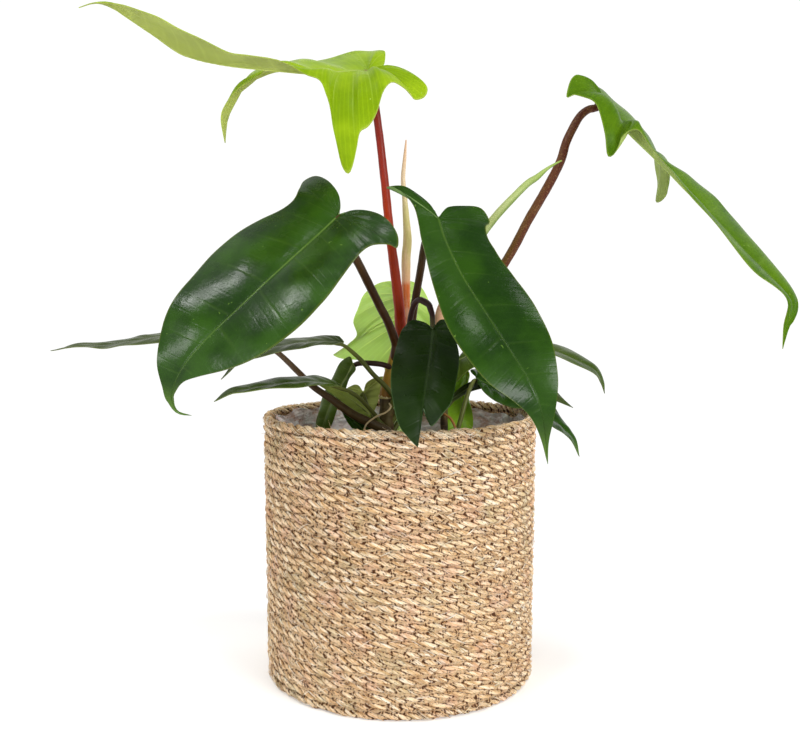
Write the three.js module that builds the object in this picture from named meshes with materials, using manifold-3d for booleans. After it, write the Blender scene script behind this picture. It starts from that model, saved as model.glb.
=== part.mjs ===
import * as THREE from 'three';
import Module from 'manifold-3d';

// A potted philodendron with lobed leaves, in a woven seagrass basket.
// Sizes are in millimetres. The origin is the centre of the basket's base, and +Z is up.
// The side that is seen first faces -Y.

// Basket
const BASKET_HEIGHT = 172;
const BASKET_TOP_RADIUS = 88;
const BASKET_BASE_RADIUS = 86.5;
const BASKET_INNER_RADIUS = 83.7;
const BASKET_FLOOR = 6;
const BASKET_FOOT_RADIUS = 83;
const ROPE_ROWS = 32;
const ROPE_BULGE = 2;
const ROUND_SIDES = 28;

// Clear liner film
const LINER_RADIUS = 83.4;
const LINER_THICKNESS = 0.6;
const LINER_TOP = 165;

// Nursery pot inside the basket
const POT_BASE_RADIUS = 52;
const POT_TOP_RADIUS = 75;
const POT_TOP = 138;
const POT_WALL = 1.4;
const POT_LIP = 2.4;

// Soil
const SOIL_TOP = 128;
const SOIL_BUMP = 1.2;
const SOIL_EDGE_DROP = 3;
const SOIL_RINGS = 4;

// Small gap between pieces that touch
const GAP = 0.3;
const BLADE_CLEARANCE = 0.5;

// Leaves
const LEAF_THICKNESS = 0.7;
const STALK_SIDES = 8;
const THIN_STALK_SIDES = 6;
const STEM_SIDES = 12;
const STALK_RUN_UNDER = 9;

// Leaves. A midrib runs from the stalk to the tip as [x, y, z], and face is the way the upper side looks.
// On a leaf that isn't flat, left and right are the two edges as [x, y, z, share, bow]. The share is the
// place on the midrib that the edge point's vein starts from, and the bow is how far the vein rises.
// On a flat leaf they are [along, across, share] in shares of the leaf's length, and the blade
// is folded along the midrib by fold degrees and rolls down by curl degrees every 10 mm.
const LEAVES = [
  {
    name: 'blade_front_left',
    material: 'dark_leaf',
    rows: 30,
    columns: 3,
    flat: true,
    midrib: [
      [-36, -64, 297], [-48, -70, 285], [-71, -86, 262], [-90, -95, 243], [-108, -101, 225],
      [-121, -103, 209], [-127, -102, 196], [-127, -100, 189], [-124, -98, 184], [-117, -96, 182],
    ],
    face: [[-0.35, -0.75, 0.55], [-0.3, -0.8, 0.5], [-0.1, -1, 0.2]],
    left: [
      [0, 0, 0], [-0.04, 0.03, 0], [-0.08, 0.09, 0], [-0.11, 0.18, 0], [-0.11, 0.26, 0],
      [-0.07, 0.285, 0], [-0.02, 0.245, 0], [0.03, 0.21, 0.01], [0.08, 0.215, 0.05],
      [0.16, 0.26, 0.12], [0.27, 0.29, 0.23], [0.405, 0.29, 0.365], [0.535, 0.25, 0.49],
      [0.65, 0.205, 0.6], [0.735, 0.155, 0.69], [0.8, 0.1, 0.785], [0.855, 0.045, 0.855],
      [0.91, 0.013, 0.92], [1, 0, 1],
    ],
    right: [
      [0, 0, 0], [-0.035, 0.035, 0], [-0.065, 0.085, 0], [-0.075, 0.14, 0], [-0.065, 0.205, 0],
      [-0.04, 0.265, 0], [0, 0.3, 0], [0.015, 0.275, 0], [0.05, 0.23, 0], [0.08, 0.215, 0.03],
      [0.15, 0.225, 0.09], [0.25, 0.24, 0.17], [0.345, 0.252, 0.265], [0.455, 0.25, 0.39],
      [0.56, 0.222, 0.51], [0.665, 0.16, 0.65], [0.77, 0.072, 0.77], [0.83, 0.025, 0.845],
      [0.9, 0.01, 0.92], [1, 0, 1],
    ],
    fold: [10, 10, 12, 12, 10, 5],
    curl: [8, 6, 5, 5, 5, 5],
  },
  {
    name: 'blade_front_right',
    material: 'dark_leaf',
    rows: 28,
    columns: 3,
    flat: true,
    midrib: [
      [23, -54, 296], [27, -64, 282], [36, -78, 261], [49, -92, 239], [62, -101, 218], [73, -105, 200],
      [79, -105, 183], [83, -101, 155],
    ],
    face: [[0.1, -0.8, 0.55], [0.15, -0.85, 0.45], [0.1, -1, 0.1]],
    left: [
      [0, 0, 0], [-0.06, 0.015, 0], [-0.12, 0.045, 0], [-0.165, 0.09, 0], [-0.175, 0.15, 0],
      [-0.145, 0.115, 0], [-0.06, 0.08, 0], [0.03, 0.08, 0.01], [0.145, 0.095, 0.11],
      [0.29, 0.12, 0.24], [0.455, 0.155, 0.4], [0.62, 0.14, 0.58], [0.73, 0.09, 0.7],
      [0.825, 0.042, 0.82], [0.91, 0.015, 0.92], [1, 0, 1],
    ],
    right: [
      [0, 0, 0], [-0.04, 0.045, 0], [-0.04, 0.11, 0], [-0.015, 0.165, 0], [0.045, 0.18, 0],
      [0.072, 0.157, 0.01], [0.11, 0.152, 0.04], [0.235, 0.156, 0.15], [0.34, 0.166, 0.25],
      [0.48, 0.166, 0.4], [0.625, 0.141, 0.56], [0.73, 0.097, 0.68], [0.81, 0.052, 0.79],
      [0.91, 0.013, 0.92], [1, 0, 1],
    ],
    fold: [10, 10, 12, 12, 10, 5],
    curl: [8, 6, 5, 5, 5, 5],
  },
  {
    name: 'blade_front_centre',
    material: 'blue_leaf',
    rows: 22,
    columns: 3,
    flat: true,
    midrib: [
      [20, -46, 229], [18, -62, 214], [15, -80, 198], [13, -91, 187], [10, -102, 165],
    ],
    face: [[0, -0.8, 0.6], [0, -0.85, 0.5], [0, -1, 0.2]],
    left: [
      [0, 0, 0], [-0.06, 0.06, 0], [-0.07, 0.14, 0], [0, 0.2, 0], [0.09, 0.225, 0.04],
      [0.36, 0.25, 0.26], [0.64, 0.22, 0.52], [0.86, 0.145, 0.76], [0.945, 0.07, 0.88], [1, 0, 1],
    ],
    right: [
      [0, 0, 0], [-0.09, 0.045, 0], [-0.095, 0.1, 0], [-0.03, 0.14, 0], [0.05, 0.16, 0.02],
      [0.24, 0.2, 0.15], [0.46, 0.2, 0.36], [0.65, 0.185, 0.52], [0.79, 0.13, 0.63],
      [0.86, 0.075, 0.7], [0.81, 0.035, 0.73], [0.74, 0.01, 0.75], [0.87, 0.004, 0.87], [1, 0, 1],
    ],
    fold: [8, 8, 8],
    curl: [6, 6, 6],
  },
  {
    name: 'blade_upper_left',
    material: 'lime_leaf',
    rows: 28,
    columns: 3,
    flat: false,
    midrib: [
      [-20, -12, 393], [-31, -20, 391], [-50, -34, 386], [-77, -52, 384], [-101, -68, 383],
      [-120, -80, 385], [-133, -88, 392], [-151, -95, 403], [-159, -98, 408], [-166, -100, 408],
      [-175, -98, 406],
    ],
    face: [[0, -0.1, 1], [0, 0, 1], [0.1, 0, 1]],
    left: [
      [-20, -12, 393, 0, 0], [-14, -8, 396, 0, 0], [-10, 0, 400, 0, 1], [-9, 10, 411, 0, 2],
      [-13, 15, 414, 0, 3], [-20, 20, 413, 0, 2], [-30, 20, 413, 0, 1], [-38, 18, 411, 0.01, 1],
      [-49, 14, 407, 0.04, 1], [-62, 12, 405, 0.08, 2], [-73, 10, 404, 0.12, 4],
      [-84, 8, 400, 0.17, 5], [-94, 4, 392, 0.2, 8], [-104, 0, 383, 0.22, 12],
      [-110, -4, 375, 0.23, 14], [-113, -8, 366, 0.24, 16], [-113, -12, 356, 0.25, 18],
      [-113, -15, 347, 0.26, 18], [-113, -20, 354, 0.265, 17], [-112, -24, 362, 0.27, 13],
      [-108, -28, 369, 0.28, 10], [-101, -33, 375, 0.3, 6], [-93, -38, 381, 0.32, 3],
      [-83, -43, 385, 0.35, 1], [-83, -48, 388, 0.38, 1], [-96, -46, 390, 0.43, 1],
      [-115, -44, 392, 0.52, 1], [-128, -50, 393, 0.6, 1], [-138, -60, 397, 0.69, 1],
      [-145, -72, 401, 0.78, 1], [-153, -84, 405, 0.87, 1], [-161, -96, 408, 0.94, 0],
      [-167, -99, 408, 0.97, 0], [-175, -98, 406, 1, 0],
    ],
    right: [
      [-20, -12, 393, 0, 0], [-10, -14, 395, 0, 1], [3, -18, 392, 0, 2], [12, -26, 386, 0, 3],
      [17, -32, 378, 0, 3], [15, -36, 371, 0, 4], [9, -38, 369, 0, 4], [6, -38, 374, 0, 4],
      [1, -39, 378, 0, 4], [-5, -41, 379, 0, 4], [-10, -46, 372, 0, 7], [-14, -50, 359, 0.01, 9],
      [-19, -51, 351, 0.03, 10], [-24, -52, 347, 0.04, 10], [-26, -52, 337, 0.06, 10],
      [-30, -53, 323, 0.08, 10], [-35, -52, 327, 0.1, 10], [-39, -52, 343, 0.11, 10],
      [-41, -52, 355, 0.12, 9], [-44, -52, 368, 0.14, 8], [-48, -50, 378, 0.17, 5],
      [-56, -50, 382, 0.22, 2], [-67, -60, 386, 0.3, 1], [-85, -78, 385, 0.4, 1],
      [-96, -90, 384, 0.48, 2], [-108, -104, 389, 0.56, 2], [-119, -110, 393, 0.64, 2],
      [-129, -112, 397, 0.72, 2], [-143, -108, 402, 0.82, 1], [-155, -102, 407, 0.91, 0.5],
      [-165, -101, 408, 0.96, 0], [-175, -98, 406, 1, 0],
    ],
  },
  {
    name: 'blade_upper_right',
    material: 'bright_leaf',
    rows: 28,
    columns: 3,
    flat: false,
    midrib: [
      [127, -20, 373], [134, -28, 362], [140, -38, 350], [152, -52, 333], [160, -60, 322],
      [167, -67, 312], [176, -73, 301], [186, -80, 288], [196, -85, 275], [207, -89, 263],
      [217, -92, 251], [221, -93, 243], [219, -91, 233], [219, -86, 219],
    ],
    face: [[0.63, -0.35, 0.7], [0.63, -0.3, 0.7], [0.6, -0.45, 0.7], [0.6, -0.45, 0.7]],
    left: [
      [127, -20, 373, 0, 0], [124, -24, 379, 0, 1], [118, -29, 382, 0, 2], [112, -34, 385, 0, 3],
      [107, -38, 384, 0, 3], [103, -41, 379, 0, 4], [101, -43, 370, 0, 5], [105, -44, 372, 0, 4],
      [111, -45, 370, 0, 4], [117, -46, 366, 0, 5], [120, -49, 358, 0.02, 7], [123, -52, 345, 0.05, 8],
      [125, -52, 333, 0.08, 8], [130, -53, 337, 0.1, 8], [133, -54, 344, 0.12, 8],
      [138, -57, 348, 0.15, 7], [143, -58, 347, 0.18, 4], [148, -60, 338, 0.25, 2],
      [153, -66, 328, 0.31, 1], [159, -72, 319, 0.37, 1], [164, -78, 311, 0.42, 1],
      [169, -85, 302, 0.47, 1], [174, -91, 293, 0.53, 1], [181, -97, 282, 0.6, 1],
      [189, -102, 271, 0.68, 1], [197, -104, 262, 0.75, 1], [206, -103, 255, 0.82, 1],
      [214, -100, 248, 0.88, 1], [217, -96, 241, 0.93, 0], [217, -92, 232, 0.96, 0],
      [219, -86, 219, 1, 0],
    ],
    right: [
      [127, -20, 373, 0, 0], [128, -10, 381, 0, 0], [125, 2, 388, 0, 1], [120, 10, 392, 0, 2],
      [119, 16, 391, 0, 2], [127, 14, 389, 0, 2], [134, 10, 386, 0, 1], [141, 6, 379, 0.03, 1],
      [149, 4, 371, 0.08, 2], [158, 4, 360, 0.12, 3], [166, 5, 348, 0.15, 5], [170, 7, 335, 0.17, 7],
      [172, 7, 324, 0.19, 8], [169, 5, 312, 0.21, 9], [172, -1, 312, 0.22, 9], [174, -8, 318, 0.23, 8],
      [172, -18, 323, 0.25, 6], [168, -30, 327, 0.27, 4], [167, -42, 327, 0.3, 2],
      [173, -48, 324, 0.35, 1], [181, -50, 317, 0.41, 1], [188, -54, 309, 0.47, 1],
      [194, -58, 300, 0.54, 1], [203, -64, 289, 0.62, 1], [212, -72, 276, 0.71, 1],
      [221, -80, 260, 0.81, 1], [225, -87, 248, 0.89, 1], [225, -90, 240, 0.93, 0],
      [221, -90, 232, 0.96, 0], [219, -86, 219, 1, 0],
    ],
  },
  {
    name: 'blade_back',
    material: 'pale_leaf',
    rows: 24,
    columns: 2,
    flat: false,
    midrib: [
      [-1, 26, 250], [-1, 36, 238], [-2, 46, 222], [-3, 52, 204], [-3, 56, 178], [0, 58, 152],
      [3, 56, 130],
    ],
    face: [[0, 1, 0.5], [0, 1, 0.3], [0, 1, 0.1]],
    left: [
      [-1, 26, 250, 0, 0], [3, 30, 258, 0, 1], [8, 36, 260, 0, 2], [15, 42, 256, 0, 2],
      [20, 46, 248, 0, 3], [22, 50, 238, 0, 3], [21, 54, 228, 0.02, 3], [22, 56, 221, 0.06, 3],
      [29, 60, 212, 0.1, 3], [35, 64, 204, 0.14, 3], [29, 62, 202, 0.18, 3], [18, 60, 202, 0.24, 2],
      [7, 58, 200, 0.34, 1], [5, 58, 189, 0.5, 1], [7, 59, 170, 0.66, 1], [6, 58, 150, 0.82, 1],
      [3, 56, 130, 1, 0],
    ],
    right: [
      [-1, 26, 250, 0, 0], [-5, 30, 259, 0, 1], [-10, 36, 260, 0, 2], [-18, 40, 257, 0, 3],
      [-26, 44, 250, 0, 3], [-30, 48, 241, 0, 3], [-33, 52, 232, 0.02, 3], [-31, 54, 223, 0.06, 3],
      [-35, 58, 216, 0.1, 3], [-44, 63, 210, 0.14, 3], [-49, 66, 207, 0.16, 3],
      [-43, 64, 204, 0.19, 3], [-28, 60, 203, 0.24, 2], [-13, 58, 201, 0.34, 1],
      [-11, 58, 189, 0.5, 1], [-10, 59, 170, 0.66, 1], [-4, 58, 150, 0.82, 1], [3, 56, 130, 1, 0],
    ],
  },
  {
    name: 'blade_low_right',
    material: 'dark_leaf',
    rows: 18,
    columns: 2,
    flat: false,
    midrib: [
      [52, 10, 194], [66, 15, 187], [83, 19, 179], [99, 18, 171], [110, 15, 161], [118, 12, 153],
      [122, 8, 141],
    ],
    face: [[0.3, -0.6, 0.8], [0.3, -0.7, 0.7], [0.3, -0.8, 0.5]],
    left: [
      [52, 10, 194, 0, 0], [53, 2, 190, 0, 1], [57, -2, 185, 0.05, 1], [64, -3, 179, 0.14, 1],
      [74, -3, 176, 0.28, 1], [86, -2, 176, 0.42, 1], [95, -1, 171, 0.54, 1], [102, 1, 163, 0.64, 1],
      [110, 4, 157, 0.76, 1], [117, 7, 151, 0.9, 0], [122, 8, 141, 1, 0],
    ],
    right: [
      [52, 10, 194, 0, 0], [48, 15, 199, 0, 1], [55, 24, 200, 0, 1], [71, 28, 196, 0.08, 1],
      [86, 32, 190, 0.22, 1], [99, 32, 182, 0.38, 1], [107, 28, 174, 0.52, 1], [113, 23, 165, 0.66, 1],
      [118, 18, 157, 0.8, 1], [121, 13, 151, 0.9, 0], [122, 8, 141, 1, 0],
    ],
  },
  {
    name: 'blade_low_right_under',
    material: 'olive_leaf',
    rows: 16,
    columns: 2,
    flat: false,
    midrib: [
      [40, 18, 206], [55, 26, 212], [77, 34, 216], [99, 40, 214], [121, 45, 206], [138, 48, 198],
      [145, 48, 190], [147, 46, 180],
    ],
    face: [[0, -0.1, 1], [0.2, -0.1, 1], [0.6, 0, 0.8]],
    left: [
      [40, 18, 206, 0, 0], [36, 10, 200, 0, 1], [34, 6, 193, 0, 1], [38, 5, 192, 0, 1],
      [43, 7, 197, 0.02, 1], [50, 8, 202, 0.05, 1], [61, 10, 206, 0.12, 1], [82, 16, 212, 0.26, 1],
      [105, 26, 210, 0.45, 1], [125, 34, 201, 0.62, 1], [139, 40, 194, 0.8, 1],
      [144, 45, 188, 0.92, 0], [147, 46, 180, 1, 0],
    ],
    right: [
      [40, 18, 206, 0, 0], [46, 32, 212, 0, 1], [64, 44, 217, 0.12, 1], [87, 54, 218, 0.28, 1],
      [109, 60, 216, 0.46, 1], [128, 60, 209, 0.64, 1], [142, 56, 200, 0.82, 1],
      [147, 50, 189, 0.93, 0], [147, 46, 180, 1, 0],
    ],
  },
  {
    name: 'blade_low_right_side',
    material: 'olive_leaf',
    rows: 14,
    columns: 2,
    flat: false,
    midrib: [
      [32, 15, 176], [40, 20, 182], [56, 28, 190], [77, 33, 191], [99, 38, 185], [114, 42, 178],
      [124, 44, 170],
    ],
    face: [[0, -0.2, 1], [0.2, 0, 1], [0.5, 0, 0.9]],
    left: [
      [32, 15, 176, 0, 0], [38, 15, 179, 0, 0], [48, 19, 184, 0.1, 0], [64, 25, 187, 0.25, 1],
      [84, 29, 184, 0.45, 1], [102, 35, 178, 0.65, 1], [114, 40, 174, 0.85, 0], [124, 44, 170, 1, 0],
    ],
    right: [
      [32, 15, 176, 0, 0], [36, 19, 182, 0, 0], [46, 25, 189, 0.1, 0], [63, 33, 194, 0.25, 1],
      [85, 41, 194, 0.45, 1], [104, 46, 187, 0.65, 1], [116, 46, 177, 0.85, 0], [124, 44, 170, 1, 0],
    ],
  },
  {
    name: 'blade_pale_right',
    material: 'young_leaf',
    rows: 14,
    columns: 2,
    flat: false,
    midrib: [
      [47, 30, 197], [45, 32, 187], [43, 33, 175], [42, 33, 163], [41, 28, 142],
    ],
    face: [[0.2, -1, 0.3], [0.2, -1, 0.2]],
    left: [
      [47, 30, 197, 0, 0], [44, 28, 196, 0, 0], [38, 27, 189, 0.08, 1], [33, 27, 176, 0.3, 1],
      [32, 28, 160, 0.6, 1], [35, 28, 149, 0.8, 0], [41, 28, 142, 1, 0],
    ],
    right: [
      [47, 30, 197, 0, 0], [49, 32, 194, 0, 0], [48, 36, 185, 0.1, 1], [50, 38, 173, 0.34, 1],
      [52, 37, 159, 0.6, 1], [49, 32, 149, 0.8, 0], [41, 28, 142, 1, 0],
    ],
  },
  {
    name: 'blade_low_inner',
    material: 'olive_leaf',
    rows: 14,
    columns: 2,
    flat: false,
    midrib: [
      [-25, 12, 184], [-29, 14, 177], [-31, 15, 170], [-32, 14, 162], [-29, 10, 155],
    ],
    face: [[-0.2, 1, -0.3], [-0.2, 1, -0.2]],
    left: [
      [-25, 12, 184, 0, 0], [-22, 18, 191, 0, 1], [-15, 22, 194, 0, 1], [-10, 24, 193, 0, 1],
      [-11, 24, 185, 0.05, 1], [-15, 24, 178, 0.2, 1], [-19, 22, 168, 0.4, 1], [-23, 18, 159, 0.7, 1],
      [-29, 10, 155, 1, 0],
    ],
    right: [
      [-25, 12, 184, 0, 0], [-29, 16, 189, 0, 1], [-34, 16, 188, 0, 1], [-38, 16, 185, 0, 1],
      [-41, 14, 179, 0.1, 1], [-39, 12, 171, 0.35, 1], [-35, 10, 163, 0.65, 1], [-29, 10, 155, 1, 0],
    ],
  },
  {
    name: 'blade_inner_left',
    material: 'blue_leaf',
    rows: 14,
    columns: 2,
    flat: false,
    midrib: [
      [-31, -12, 205], [-35, -10, 197], [-41, -8, 188], [-47, -5, 176], [-51, -3, 165], [-55, 0, 152],
    ],
    face: [[-0.6, -0.8, 0.3], [-0.6, -0.8, 0.2]],
    left: [
      [-31, -12, 205, 0, 0], [-33, -9, 210, 0, 0], [-38, -5, 207, 0.04, 1], [-44, -2, 198, 0.2, 1],
      [-50, 2, 186, 0.42, 1], [-55, 5, 173, 0.62, 1], [-57, 6, 161, 0.82, 1], [-55, 0, 152, 1, 0],
    ],
    right: [
      [-31, -12, 205, 0, 0], [-29, -15, 202, 0, 0], [-33, -14, 196, 0.1, 1], [-36, -13, 188, 0.3, 1],
      [-41, -11, 176, 0.5, 1], [-45, -8, 165, 0.7, 1], [-49, -4, 157, 0.9, 0], [-55, 0, 152, 1, 0],
    ],
  },
  {
    name: 'blade_left_upper',
    material: 'olive_leaf',
    rows: 14,
    columns: 2,
    flat: false,
    midrib: [
      [-36, -26, 220], [-50, -31, 221], [-66, -37, 220], [-85, -46, 216], [-100, -52, 209],
      [-109, -54, 199],
    ],
    face: [[0, -0.2, 1], [-0.3, -0.2, 1], [-0.8, -0.2, 0.6]],
    left: [
      [-36, -26, 220, 0, 0], [-40, -20, 224, 0, 0], [-53, -18, 224, 0.06, 1], [-67, -22, 223, 0.25, 1],
      [-87, -33, 217, 0.52, 1], [-101, -46, 210, 0.78, 0], [-109, -54, 199, 1, 0],
    ],
    right: [
      [-36, -26, 220, 0, 0], [-40, -33, 220, 0, 0], [-52, -42, 219, 0.06, 1], [-64, -50, 217, 0.25, 1],
      [-83, -56, 214, 0.52, 1], [-98, -57, 208, 0.78, 0], [-109, -54, 199, 1, 0],
    ],
  },
  {
    name: 'blade_left_lower',
    material: 'olive_leaf',
    rows: 14,
    columns: 2,
    flat: false,
    midrib: [
      [-37, -34, 193], [-50, -41, 196], [-61, -49, 197], [-78, -60, 196], [-95, -70, 194],
      [-102, -74, 192], [-109, -76, 188],
    ],
    face: [[0, -0.2, 1], [-0.1, -0.2, 1], [-0.4, -0.2, 0.9]],
    left: [
      [-37, -34, 193, 0, 0], [-42, -28, 196, 0, 0], [-52, -28, 199, 0.06, 1], [-63, -33, 199, 0.2, 1],
      [-80, -44, 198, 0.46, 1], [-96, -60, 196, 0.74, 0], [-104, -69, 193, 0.9, 0],
      [-109, -76, 188, 1, 0],
    ],
    right: [
      [-37, -34, 193, 0, 0], [-41, -42, 194, 0, 0], [-50, -52, 195, 0.06, 1], [-60, -60, 195, 0.2, 1],
      [-77, -70, 195, 0.46, 1], [-94, -76, 193, 0.74, 0], [-102, -77, 191, 0.9, 0],
      [-109, -76, 188, 1, 0],
    ],
  },
  {
    name: 'blade_far_left',
    material: 'olive_leaf',
    rows: 16,
    columns: 2,
    flat: false,
    midrib: [
      [-111, 6, 230], [-136, 14, 227], [-166, 24, 222], [-188, 30, 218], [-211, 36, 215],
      [-232, 40, 214], [-249, 44, 211],
    ],
    face: [[0, -0.1, 1], [0, -0.1, 1]],
    left: [
      [-111, 6, 230, 0, 0], [-118, 14, 232, 0, 0], [-142, 27, 229, 0.08, 1], [-169, 39, 224, 0.26, 1],
      [-192, 44, 220, 0.42, 1], [-214, 46, 217, 0.6, 0], [-234, 46, 215, 0.8, 0],
      [-249, 44, 211, 1, 0],
    ],
    right: [
      [-111, 6, 230, 0, 0], [-115, -4, 229, 0, 0], [-136, 0, 225, 0.08, 1], [-162, 9, 219, 0.26, 1],
      [-184, 17, 216, 0.42, 1], [-208, 26, 214, 0.6, 0], [-230, 35, 214, 0.8, 0],
      [-249, 44, 211, 1, 0],
    ],
  },
  {
    name: 'blade_low_left',
    material: 'bright_leaf',
    rows: 12,
    columns: 2,
    flat: false,
    midrib: [
      [-19, -4, 171], [-25, -10, 177], [-34, -17, 184], [-43, -20, 189], [-52, -21, 192],
    ],
    face: [[-0.4, -0.5, 0.8], [-0.4, -0.5, 0.8]],
    left: [
      [-19, -4, 171, 0, 0], [-19, -1, 175, 0, 1], [-26, -7, 182, 0.15, 1], [-35, -14, 188, 0.4, 1],
      [-43, -19, 192, 0.7, 0], [-52, -21, 192, 1, 0],
    ],
    right: [
      [-19, -4, 171, 0, 0], [-21, -9, 168, 0, 1], [-29, -15, 173, 0.15, 1], [-36, -18, 180, 0.4, 1],
      [-43, -20, 186, 0.7, 0], [-52, -21, 192, 1, 0],
    ],
  },
  {
    name: 'blade_low_front',
    material: 'dark_leaf',
    rows: 10,
    columns: 2,
    flat: false,
    midrib: [
      [-20, -5, 156], [-26, -8, 163], [-33, -11, 170], [-39, -13, 177],
    ],
    face: [[-0.5, -0.5, 0.7], [-0.5, -0.5, 0.7]],
    left: [
      [-20, -5, 156, 0, 0], [-19, -1, 160, 0, 0], [-23, -3, 167, 0.2, 1], [-32, -8, 174, 0.55, 1],
      [-37, -12, 176, 0.85, 0], [-39, -13, 177, 1, 0],
    ],
    right: [
      [-20, -5, 156, 0, 0], [-25, -8, 156, 0, 0], [-30, -10, 161, 0.2, 1], [-35, -12, 168, 0.5, 1],
      [-38, -13, 174, 0.85, 0], [-39, -13, 177, 1, 0],
    ],
  },
];

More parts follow.
